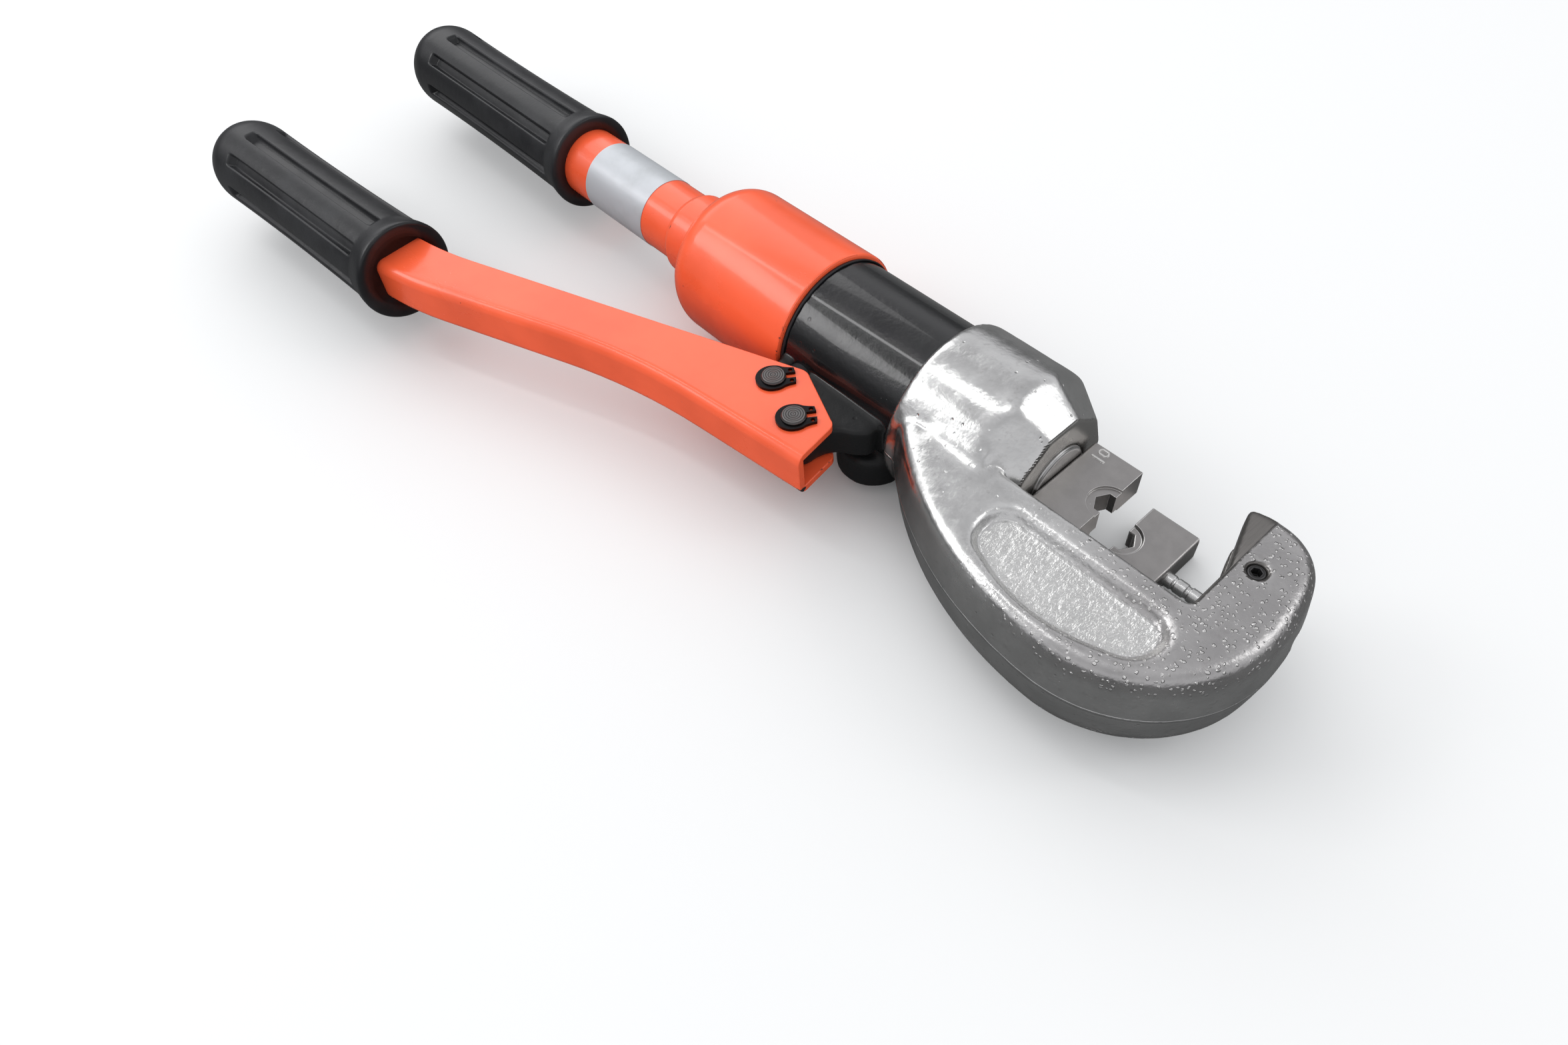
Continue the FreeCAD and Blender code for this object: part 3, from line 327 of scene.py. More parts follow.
@dataclass(frozen=True)
class SatinSteel:
    """Plated or ground steel with bright edges, painted as highlights, faint brushing and small
    blotches.
    """

    name: str
    colour: Colour
    # A light colour: painted on rounded edges as a highlight, and also used on raised tops and
    # specks.
    edge: Colour = (0.86, 0.85, 0.83)
    roughness: float = 0.34
    brush: tuple = (1.0, 1.0, 0.12)
    brush_depth: float = 0.02 * MM
    raised_above: float = 1.0

    def material(self) -> Material:
        """Builds the steel."""
        g = Graph(self.name)
        blot = g.between(g.cloud(190.0, 5.0, 0.6), 0.30, 0.70)
        colour = g.mix(blot, tuple(c * 0.90 for c in self.colour), self.colour)
        raised = g.between(g.axis("Z"), self.raised_above, self.raised_above + 0.04 * MM)
        colour = g.mix(raised, colour, self.edge)
        speck = g.sprinkle(520.0, 0.05, 0.09, g.between(g.cloud(140.0, 2.0), 0.55, 0.62))
        colour = g.mix(g.times(speck, 0.5), colour, self.edge)
        # Painted highlight: the rounded edges take the light edge colour.
        rim = g.marked("rim")
        colour = g.mix(g.times(rim, 0.75), colour, self.edge)
        brushed = g.cloud(1400.0, 3.0, 0.6, g.stretch(self.brush))
        normal = g.relief((brushed, self.brush_depth), (g.cloud(600.0, 4.0, 0.6), 0.05 * MM))
        spread = g.times(g.cloud(240.0, 4.0), 0.14)
        roughness = g.plus(self.roughness - 0.07, spread)
        roughness = g.math("SUBTRACT", roughness, g.times(rim, 0.08))
        return g.finish(Base_Color=colour, Metallic=1.0, Roughness=roughness, Normal=normal)


@dataclass(frozen=True)
class TurnedSteel:
    """Steel with concentric turning rings about one axis, and painted highlights on its rounded
    edges.
    """

    name: str
    colour: Colour
    centre: tuple = (0.0, 0.0, 0.0)
    along: str = "X"
    metallic: float = 1.0
    roughness: float = 0.26
    pitch: float = 0.35 * MM
    depth: float = 0.02 * MM
    ring_tint: float = 0.15

    def material(self) -> Material:
        """Builds the steel."""
        g = Graph(self.name)
        at = g.node("ShaderNodeVectorMath", {"operation": "SUBTRACT"}, i0=g.place,
                    i1=self.centre).outputs[0]
        rings = g.node("ShaderNodeTexWave", {
            "wave_type": "RINGS" if self.along == "Z" else "BANDS",
            "rings_direction": "Z", "bands_direction": "X"},
            Vector=at, Scale=0.314 / self.pitch, Distortion=0.35, Detail=2.0,
            Detail_Scale=3.0).outputs["Fac"]
        blot = g.between(g.cloud(300.0, 4.0, 0.6), 0.35, 0.65)
        colour = g.mix(blot, tuple(c * 0.78 for c in self.colour), self.colour)
        light = tuple(min(0.9, c * 2.2 + 0.04) for c in self.colour)
        colour = g.mix(g.times(rings, self.ring_tint), colour, light)
        # Painted highlight: the rounded edges are lightened.
        colour = g.mix(g.times(g.marked("rim"), 0.5), colour, light)
        normal = g.relief((rings, self.depth), (g.cloud(900.0, 3.0), 0.03 * MM))
        roughness = g.plus(self.roughness, g.times(rings, 0.10))
        return g.finish(Base_Color=colour, Metallic=self.metallic, Roughness=roughness,
                        Normal=normal)


@dataclass(frozen=True)
class MouldedRubber:
    """Moulded black rubber with a fine skin, rubbed places and a little dust."""

    name: str
    colour: Colour = (0.0085, 0.0090, 0.0105)
    roughness: float = 0.32

    def material(self) -> Material:
        """Builds the rubber."""
        g = Graph(self.name)
        rubbed = g.between(g.cloud(42.0, 4.0, 0.6), 0.42, 0.68)
        colour = g.mix(rubbed, self.colour, tuple(c * 1.6 + 0.004 for c in self.colour))
        dust = g.sprinkle(420.0, 0.05, 0.08, g.between(g.cloud(90.0, 3.0), 0.56, 0.64))
        colour = g.mix(g.times(dust, 0.4), colour, (0.16, 0.16, 0.17))
        normal = g.relief((g.cloud(260.0, 3.0), 0.10 * MM),
                          (g.cloud(1500.0, 3.0, 0.6), 0.035 * MM))
        roughness = g.plus(self.roughness, g.times(rubbed, 0.12))
        return g.finish(Base_Color=colour, Roughness=roughness, Normal=normal,
                        Specular_IOR_Level=0.42, Coat_Weight=0.10, Coat_Roughness=0.22)


@dataclass(frozen=True)
class LabelFilm:
    """Blank silver film, a little wavy where it is stuck down."""

    name: str
    colour: Colour = (0.54, 0.56, 0.59)

    def material(self) -> Material:
        """Builds the film."""
        g = Graph(self.name)
        worn = g.between(g.cloud(60.0, 5.0, 0.6), 0.40, 0.68)
        colour = g.mix(worn, self.colour, (0.47, 0.49, 0.51))
        rub = g.sprinkle(300.0, 0.05, 0.09, g.between(g.cloud(120.0, 2.0), 0.55, 0.62))
        colour = g.mix(g.times(rub, 0.4), colour, (0.35, 0.33, 0.32))
        waves = g.cloud(70.0, 3.0, 0.5, g.stretch((0.5, 1.0, 1.0)))
        roughness = g.plus(0.34, g.times(worn, 0.16))
        return g.finish(Base_Color=colour, Metallic=0.25, Roughness=roughness,
                        Normal=g.relief((waves, 0.35 * MM)))


class Metal(Enum):
    """Plain metals of the small parts."""

    ZINC = (0.84, 0.84, 0.83)
    DIE = (0.46, 0.445, 0.435)
    GROUND = (0.52, 0.51, 0.50)
    BLACK_OXIDE = (0.040, 0.039, 0.040)
    WORN_OXIDE = (0.075, 0.071, 0.070)


# ---- bench tools


def new_piece(name: str, data: ID) -> Object:
    """Links a mesh, camera or lamp to the scene at the origin."""
    data.name = name
    piece = bpy.data.objects.new(name, data)
    bpy.context.scene.collection.objects.link(piece)
    return piece


def baked(edit: BMesh, name: str) -> Mesh:
    """Turns an edit into a mesh."""
    mesh = bpy.data.meshes.new(name)
    edit.to_mesh(mesh)
    edit.free()
    return mesh


def close(edit: BMesh, name: str) -> Mesh:
    """Turns an edit into a smooth mesh, its faces outward."""
    bmesh.ops.recalc_face_normals(edit, faces=edit.faces)
    mesh = baked(edit, name)
    mesh.shade_smooth()
    return mesh


def settle(piece: Object) -> Object:
    """Turns a piece's modifiers into plain mesh."""
    bpy.context.view_layer.update()
    graph = bpy.context.evaluated_depsgraph_get()
    mesh = bpy.data.meshes.new_from_object(piece.evaluated_get(graph), depsgraph=graph,
                                           preserve_all_data_layers=True)
    piece.modifiers.clear()
    piece.data = mesh
    mesh.name = piece.name
    return piece


def welded(node: str, flat_deg: float = 0.3) -> Mesh:
    """A node's shape with its corners joined and its flat faces made whole."""
    edit = bmesh.new()
    edit.from_mesh(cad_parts[node].data)
    bmesh.ops.remove_doubles(edit, verts=edit.verts, dist=0.002 * MM)
    if flat_deg:
        bmesh.ops.dissolve_limit(edit, angle_limit=radians(flat_deg), verts=edit.verts,
                                 edges=edit.edges)
    mesh = baked(edit, node + "_welded")
    for extra in ("custom_normal", "sharp_face"):
        if extra in mesh.attributes:
            mesh.attributes.remove(mesh.attributes[extra])
    mesh.shade_smooth()
    return mesh


def note(mesh: Mesh, name: str, values: np.ndarray, where: str = "POINT") -> None:
    """Stores one number per point or face for a finish to read."""
    made = mesh.attributes.new(name, "FLOAT", where)
    made.data.foreach_set("value", values.astype(np.float32))


def read(items, name: str, width: int = 1, kind: type = float) -> np.ndarray:
    """Reads one property of a mesh's points, edges or faces, a row of numbers for each."""
    values = np.empty(len(items) * width, dtype=kind)
    items.foreach_get(name, values)
    return values.reshape(-1, width)


def eased(node: str, name: str, edge: float, body: str, slot: str,
          material: Material, angle_deg: float = 32.0, segments: int = 2) -> None:
    """Puts a piece with rounded edges in a node's place; the roundings are marked as rim.

    Args:
        node: the CAD node.
        name: the new piece's name.
        edge: width of the rounding in millimetres.
        body: the body it rides on.
        slot: the name of its finish's slot; not used.
        material: its finish.
        angle_deg: edges sharper than this are rounded.
        segments: steps across the rounding.
    """
    piece = new_piece(name, welded(node))
    piece.data.materials.clear()
    for _ in range(2):
        piece.data.materials.append(None)
    bevel = piece.modifiers.new("edge", "BEVEL")
    bevel.material = 1
    bevel.width = edge * MM
    bevel.segments = segments
    bevel.limit_method = "ANGLE"
    bevel.angle_limit = radians(angle_deg)
    bevel.harden_normals = True
    normals = piece.modifiers.new("normals", "WEIGHTED_NORMAL")
    normals.keep_sharp = True
    settle(piece)
    faces = piece.data.polygons
    rounded = read(faces, "material_index", kind=np.int32).ravel()
    note(piece.data, "rim", (rounded == 1).astype(float), "FACE")
    faces.foreach_set("material_index", np.zeros_like(rounded))
    hand_over(piece, body, slot, material, node)


def hand_over(piece: Object, body: str, slot: str, material: Material, *nodes: str) -> Object:
    """Gives a piece its finish, its body and the nodes it stands for."""
    piece.data.materials.clear()
    piece.data.materials.append(material)
    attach(piece, body)
    if nodes:
        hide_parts(*nodes)
    LOG.info("%s: %d faces on %s", piece.name, len(piece.data.polygons), body)
    return piece


def dress(node: str, material: Material) -> None:
    """Gives a carried-over node its finish."""
    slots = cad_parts[node].data.materials
    slots.clear()
    slots.append(material)


def polar(radius: float, turn: float) -> tuple[float, float]:
    """A point on a circle round the origin."""
    return radius * cos(turn), radius * sin(turn)


def centre_of(node: str) -> Vector:
    """The middle of a node's box."""
    low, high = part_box(node)
    return (low + high) / 2


# ---- sub-assemblies


@dataclass
class SoftenedCasting:
    """Turns a node's shape into a fine skin with softened edges and an uneven surface."""

    grain: float = 0.60
    passes: int = 5
    lump: float = 0.07
    lump_size: float = 12.0
    ripple: float = 0.035
    ripple_size: float = 2.6
    firm_pull: float = 0.12

    def skin(self, node: str, name: str) -> tuple[Object, np.ndarray, np.ndarray]:
        """Remeshes a node.

        Returns:
            The piece, its points in millimetres, and its edges' ends.
        """
        mesh = welded(node, 0.0)
        mesh.transform(Matrix.Scale(1 / MM, 4))
        piece = new_piece(name, mesh)
        remesh = piece.modifiers.new("skin", "REMESH")
        remesh.mode = "VOXEL"
        remesh.voxel_size = self.grain
        settle(piece)
        return (piece, read(piece.data.vertices, "co", 3),
                read(piece.data.edges, "vertices", 2, np.int32))

    def soften(self, at: np.ndarray, ends: np.ndarray, firm: np.ndarray) -> None:
        """Evens the points out, less where firm is 1, in place."""
        pull = (0.55 * (1.0 - firm) + self.firm_pull * firm)[:, None]
        count = len(at)
        degree = np.maximum(np.bincount(ends.ravel(), minlength=count), 1)[:, None]
        for _ in range(self.passes):
            total = np.stack([np.bincount(ends[:, 0], at[ends[:, 1], i], count)
                              + np.bincount(ends[:, 1], at[ends[:, 0], i], count)
                              for i in range(3)], axis=1)
            at += pull * (total / degree - at)

    def roughen(self, mesh: Mesh, at: np.ndarray, firm: np.ndarray) -> None:
        """Lifts the points by smooth lumps and ripples, except where firm is 1."""
        mesh.vertices.foreach_set("co", at.ravel())
        mesh.update()
        away = read(mesh.vertices, "normal", 3)
        lift = np.array([
            self.lump * noise.noise(Vector(p) / self.lump_size)
            + self.ripple * noise.noise(Vector(p) / self.ripple_size + Vector((7, 3, 1)))
            for p in at])
        at += away * (lift * (1.0 - firm))[:, None]
        mesh.vertices.foreach_set("co", (at * MM).ravel())
        mesh.update()
        mesh.shade_smooth()


@dataclass
class ForgedHead:
    """The C head, with its grub screw and ball."""

    body: str = "tool"
    ram_proud: float = 1.0
    mouth_ring: float = 20.6
    thread_reach: float = 23.0
    thread_long: float = 28.5
    near: float = 0.4
    mouth_near: float = 0.45
    guide_gap: float = 0.6
    guide_most: float = 11.5
    stem_x: float = -1.0
    stem_r: float = 2.9
    grub_r: float = 3.0
    side_z: float = 9.0
    spine_x: float = -56.0
    seat_x: tuple = (-11.0, 0.75)
    throat_y: float = -19.2
    recess_y: float = -20.0
    recess_deep: float = 1.2

    def milled_share(self, at: np.ndarray) -> np.ndarray:
        """How far each point lies on a machined face, from 0 to 1; points in millimetres."""
        x, y, z = at.T
        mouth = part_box("ram")[1].x / MM - self.ram_proud
        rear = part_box("c_head")[0].x / MM
        guide = self.guide_gap + min(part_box("ram")[1].y, self.guide_most * MM) / MM
        radius = np.hypot(y, z)
        ring = (np.abs(x - mouth) < self.mouth_near) & (radius < self.mouth_ring)
        bores = (x < mouth + self.near) & (radius < guide)
        thread = (x < rear + self.thread_long) & (radius < self.thread_reach)
        collar = np.abs(x - rear) < self.near
        jaw = (x > self.seat_x[0]) & (x < self.seat_x[1]) & (y > self.throat_y)
        stem = (x > self.stem_x) & (radius < self.stem_r)
        grub = np.hypot(x - centre_of("jaw_grub_screw").x / MM, y) < self.grub_r
        return (ring | bores | thread | collar | jaw | stem | grub).astype(float)

    def rough_share(self, at: np.ndarray) -> np.ndarray:
        """How coarse the skin is: most on the jaw's and spine's flat faces and in the recess."""
        flat = np.clip((np.abs(at[:, 2]) - self.side_z) / 3.0, 0, 1)
        forward = np.clip((at[:, 0] - self.spine_x) / 12.0, 0, 1)
        return 0.15 + 0.85 * flat * forward

    def cupped_share(self, mesh: Mesh, at: np.ndarray) -> np.ndarray:
        """1 on the floors of the two kidney recesses, 0 elsewhere."""
        x, y, z = at.T
        facing = read(mesh.vertices, "normal", 3)
        flat = np.clip((np.abs(facing[:, 2]) - 0.80) / 0.15, 0, 1)
        top = np.max(z[(x > -30) & (y < -25)])
        sunk = np.clip((top - self.recess_deep - np.abs(z)) / 0.8, 0, 1)
        return flat * sunk * (y < self.recess_y) * (np.abs(z) > 5)

    def build(self) -> None:
        """Builds and dresses the head and its small parts."""
        skin = SoftenedCasting(grain=0.64, passes=20)
        piece, at, ends = skin.skin("c_head", "forged_head")
        milled = self.milled_share(at)
        skin.soften(at, ends, milled)
        skin.roughen(piece.data, at, milled)
        note(piece.data, "milled", milled)
        note(piece.data, "rough", self.rough_share(at))
        note(piece.data, "cupped", self.cupped_share(piece.data, at))
        hand_over(piece, self.body, "plated_forging",
                  PlatedForging("plated_forging").material(), "c_head")
        oxide = TurnedSteel("screw_oxide", Metal.BLACK_OXIDE.value,
                            tuple(centre_of("jaw_grub_screw")), "Z", 0.7, 0.38)
        eased("jaw_grub_screw", "grub_screw", 0.15, self.body, "black_oxide", oxide.material())
        ball = SatinSteel("ball_polish", Metal.ZINC.value, roughness=0.2)
        dress("jaw_detent_ball", ball.material())


@dataclass
class PumpCylinder:
    """The black casting, with its plugs and seals."""

    body: str = "tool"
    barrel_near: float = 0.2
    pin_hole_r: float = 4.3
    pump_bore: tuple = (4.5, 4.3, -11.0)
    inside_r: float = 19.0
    gasket_gap: float = 0.12
    gasket_tear: float = 0.30

    def turned_share(self, at: np.ndarray, barrel_r: float) -> np.ndarray:
        """1 on the turned barrel and in the bores, 0 on the rough cast forms."""
        x, y, z = at.T
        radius = np.hypot(y, z)
        pin = centre_of("fulcrum_pin") / MM
        hole = np.hypot(x - pin.x, y - pin.y) < self.pin_hole_r
        long, wide, low = self.pump_bore
        pump = np.abs(x - centre_of("pump_plunger").x / MM) < long
        pump &= (np.abs(z) < wide) & (y < low)
        barrel = np.abs(radius - barrel_r) < self.barrel_near
        return (barrel | hole | pump | (radius < self.inside_r)).astype(float)

    def build(self) -> None:
        """Builds and dresses the casting."""
        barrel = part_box("cylinder")[1].z
        enamel = BlackCasting("black_enamel", barrel).material()
        skin = SoftenedCasting(grain=0.7, passes=14, lump=0.10, ripple=0.04, firm_pull=0.3)
        piece, at, ends = skin.skin("cylinder", "pump_casting")
        turned = self.turned_share(at, barrel / MM)
        skin.soften(at, ends, turned)
        radius = np.hypot(at[:, 1], at[:, 2])
        near = (turned > 0.5) & (np.abs(radius - barrel / MM) < 0.5)
        at[near, 1:] *= (barrel / MM / radius[near])[:, None]
        skin.roughen(piece.data, at, turned)
        hand_over(piece, self.body, "black_enamel", enamel, "cylinder")
        rubber = MouldedRubber("seal_rubber", roughness=0.5).material()
        for node in ("plunger_seal", "oil_bladder"):
            dress(node, rubber)
        hand_over(self.ragged_gasket(), self.body, "seal_rubber", rubber, "shell_gasket")
        plug = TurnedSteel("plug_zinc", Metal.ZINC.value, tuple(centre_of("relief_plug")), "Z")
        eased("relief_plug", "relief_plug_turned", 0.2, self.body, "zinc_bright",
              plug.material())

    def ragged_gasket(self) -> Object:
        """The thin gasket at the shell's rim, its outer lip a little torn."""
        low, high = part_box("shell_gasket")
        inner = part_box("cylinder")[1].z + self.gasket_gap * MM
        steps = 240
        rings = []
        edit = bmesh.new()
        for x, share, torn in ((low.x, 0.0, 0), (low.x, 0.8, 0), (high.x - 0.5 * MM, 1.0, 0.4),
                               (high.x, 0.8, 1.0), (high.x, 0.0, 0)):
            ring = []
            for step in range(steps):
                turn = tau * step / steps
                way = Vector((0, *polar(1.0, turn)))
                tear = noise.noise(way * 9.0) * self.gasket_tear * MM * torn
                lip = 0.42 + 0.5 * max(0.0, noise.noise(way * 4.0)) * torn
                radius = inner + share * lip * (high.z - inner)
                ring.append(edit.verts.new(way * radius + Vector((x + tear, 0, 0))))
            rings.append(ring)
        for first, second in zip(rings, rings[1:] + rings[:1]):
            for step in range(steps):
                after = (step + 1) % steps
                edit.faces.new((first[step], first[after], second[after], second[step]))
        return new_piece("rim_gasket", close(edit, "rim_gasket"))


@dataclass
class RamAndDies:
    """The ram, the die half on it, the loose half, and their stems."""

    edge: float = 0.45

    def build(self) -> None:
        """Builds and dresses the ram and both die halves."""
        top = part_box("moving_die")[1].z - 0.16 * MM
        steel = SatinSteel("die_plating", Metal.DIE.value, roughness=0.32,
                           raised_above=top).material()
        zinc = TurnedSteel("stem_zinc", Metal.ZINC.value, roughness=0.24,
                           depth=0.008 * MM).material()
        ground = TurnedSteel("ram_ground", Metal.GROUND.value, pitch=0.5 * MM).material()
        for body, die, stem in (("ram_and_die", "moving_die", "moving_die_stem"),
                                ("spare_half", "loose_die", "loose_die_stem")):
            eased(die, die + "_plated", self.edge, body, "die_plate", steel, 25.0, 3)
            eased(stem, stem + "_turned", 0.18, body, "zinc_bright", zinc)
        eased("ram", "ram_rod", 0.3, "ram_and_die", "ground_steel", ground)
        dress("piston_seal", MouldedRubber("piston_rubber", roughness=0.5).material())


@dataclass
class RibbedGrip:
    """One rubber grip: smooth collar, broad ribs between narrow flutes, domed end."""

    node: str
    name: str
    slant_deg: float = 0.0
    flutes: int = 8
    flute_width: float = 4.3
    flute_floor: float = 14.2
    flute_start: float = 10.4
    flute_end: float = 98.0
    softness: float = 0.32
    waist_r: float = 16.5
    rib_r: float = 16.3
    bore_shown: float = 1.6
    middle: float = 60.0
    tail_at: float = 106.5
    long: float = 121.5
    profile: tuple = (
        (0.0, 13.3), (0.0, 17.3), (0.12, 17.8), (0.4, 18.15), (0.9, 18.35), (1.6, 18.4),
        (3.2, 18.2), (5.5, 17.75), (7.5, 17.35), (8.6, 17.15), (9.4, 17.05))

    def front(self) -> Vector:
        """Centre of the grip's front face, from the node's foremost points."""
        turn = Matrix.Rotation(radians(self.slant_deg), 3, "Z")
        way = turn @ Vector((1, 0, 0))
        points = [v.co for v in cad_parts[self.node].data.vertices]
        first = max(p.dot(way) for p in points)
        rim = [p for p in points if p.dot(way) > first - 0.02 * MM]
        low, high = (Vector(end(p[i] for p in rim) for i in range(3)) for end in (min, max))
        return (low + high) / 2

    def outline(self) -> list[tuple[float, float]]:
        """Distance behind the front face and radius, in millimetres, front to tail."""
        points = list(self.profile)
        first, count = points[-1][0], 110
        steps = [first + (self.tail_at - first) * i / count for i in range(1, count + 1)]
        points += [(t, self.waist_r + 0.55 * ((t - self.middle) / 50.0) ** 2) for t in steps]
        tail_r = points[-1][1]
        for i in range(1, 17):
            turn = radians(90 * i / 16)
            points.append((self.tail_at + (self.long - self.tail_at) * sin(turn),
                           tail_r * cos(turn) ** 0.82 if i < 16 else 0.0))
        return points

    def lathe(self) -> Mesh:
        """The plain turned form, its points crowded where the flutes' walls come."""
        sector = tau / self.flutes
        wall = self.flute_width / 2 / self.rib_r
        local = [-wall * f for f in (1.6, 1.3, 1.15, 1.0, 0.85, 0.7, 0.4)] + [0.0]
        local += [-a for a in reversed(local[:-1])]
        rest = sector - 2 * local[-1]
        local += [local[-1] + rest * i / 9 for i in range(1, 9)]
        angles = [sector * n + a for n in range(self.flutes) for a in local]
        edit = bmesh.new()
        rings = []
        for behind, radius in self.outline():
            if radius <= 0:
                tip = edit.verts.new((-behind * MM, 0, 0))
                continue
            rings.append([edit.verts.new((-behind * MM, *polar(radius * MM, a)))
                          for a in angles])
        count = len(angles)
        hole = [edit.verts.new(v.co - Vector((self.bore_shown * MM, 0, 0))) for v in rings[0]]
        rings.insert(0, hole)
        for before, ring in zip(rings, rings[1:]):
            for i in range(count):
                j = (i + 1) % count
                edit.faces.new((before[i], ring[i], ring[j], before[j]))
        for i in range(count):
            edit.faces.new((rings[-1][i], tip, rings[-1][(i + 1) % count]))
        edit.faces.new(hole)
        return close(edit, self.name)

    def build(self, body: str, material: Material) -> None:
        """Cuts the flutes, puts the grip in place and hands it over."""
        piece = new_piece(self.name, self.lathe())
        sizes = {"Flutes": self.flutes, "Width": self.flute_width * MM,
                 "Floor": self.flute_floor * MM, "Start": self.flute_start * MM,
                 "End": self.flute_end * MM, "Softness": self.softness * MM,
                 "Finish": material}
        shaped(piece, flute_tree(), sizes)
        piece.data.shade_smooth()
        turn = Matrix.Rotation(radians(self.slant_deg), 4, "Z")
        piece.data.transform(Matrix.Translation(self.front()) @ turn)
        hand_over(piece, body, "black_rubber", material, self.node)


def shaped(piece: Object, group: NodeTree, values: dict) -> Object:
    """Runs a piece through a geometry node group; the values are its inputs by name."""
    made = piece.modifiers.new(group.name, "NODES")
    made.node_group = group
    for item in group.interface.items_tree:
        if item.name in values and item.in_out == "INPUT":
            made[item.identifier] = values[item.name]
    return settle(piece)


class Shaper(Net):
    """A geometry node group that takes a shape, inputs of one kind and a finish."""

    def __init__(self, name: str, kind: str, inputs: tuple) -> None:
        """Starts the group."""
        super().__init__(bpy.data.node_groups.new(name, "GeometryNodeTree"))
        face = self.tree.interface
        for given, sort in (("Geometry", "Geometry"), *((given, kind) for given in inputs),
                            ("Finish", "Material")):
            face.new_socket(given, in_out="INPUT", socket_type="NodeSocket" + sort)
        face.new_socket("Geometry", in_out="OUTPUT", socket_type="NodeSocketGeometry")
        self.given = self.node("NodeGroupInput").outputs

    def finish(self, shape) -> NodeTree:
        """Makes the shape real, gives it the finish and returns the group."""
        real = self.node("GeometryNodeRealizeInstances", i0=shape)
        paint = self.node("GeometryNodeSetMaterial", Geometry=real.outputs[0],
                          Material=self.given["Finish"])
        self.node("NodeGroupOutput", i0=paint.outputs[0])
        return self.tree


def flute_tree() -> NodeTree:
    """Geometry nodes that press straight flutes into a turned form lying along X."""
    known = bpy.data.node_groups.get("flutes")
    if known:
        return known
    g = Shaper("flutes", "Float", ("Flutes", "Width", "Floor", "Start", "End", "Softness"))
    flutes, soft = g.given["Flutes"], g.given["Softness"]
    start, end = g.given["Start"], g.given["End"]
    x, y, z = g.node("ShaderNodeSeparateXYZ",
                     i0=g.node("GeometryNodeInputPosition").outputs[0]).outputs
    radius = g.math("SQRT", g.plus(g.times(y, y), g.times(z, z)))
    turns = g.times(g.math("DIVIDE", g.math("ARCTAN2", z, y), tau), flutes)
    part = g.math("ABSOLUTE", g.math("SUBTRACT", turns, g.math("ROUND", turns)))
    pitch = g.math("DIVIDE", g.times(radius, tau), flutes)
    half = g.times(g.given["Width"], 0.5)
    across = g.between(g.times(part, pitch), g.plus(half, soft), g.math("SUBTRACT", half, soft))
    behind = g.times(x, -1.0)
    enter = g.between(behind, g.math("SUBTRACT", start, soft), g.plus(start, soft))
    leave = g.between(behind, g.plus(end, g.times(soft, 3.0)), g.math("SUBTRACT", end, soft))
    over = g.math("SUBTRACT", radius, g.given["Floor"])
    deep = g.times(across, g.times(enter, leave), over)
    scale = g.math("DIVIDE", g.times(deep, -1.0), g.math("MAXIMUM", radius, 1e-5))
    offset = g.node("ShaderNodeCombineXYZ", i1=g.times(y, scale), i2=g.times(z, scale))
    move = g.node("GeometryNodeSetPosition", Geometry=g.given["Geometry"],
                  Offset=offset.outputs[0])
    return g.finish(move.outputs[0])


@dataclass
class ReservoirHandle:
    """The shell with its neck, the tube, the blank band, the spindle and the rear grip."""

    body: str = "release_handle"

    def build(self, paint: Material, rubber: Material) -> None:
        """Builds and dresses the handle."""
        for node, name, edge in (("reservoir_shell", "painted_shell", 0.5),
                                 ("handle_tube", "painted_tube", 0.4)):
            eased(node, name, edge, self.body, "orange_paint", paint, 20.0, 3)
        eased("label_band", "blank_band", 0.03, self.body, "label_foil",
              LabelFilm("label_film").material())
        dress("release_spindle", TurnedSteel("spindle_steel", Metal.GROUND.value).material())
        RibbedGrip("rear_grip", "rear_grip_ribbed").build(self.body, rubber)


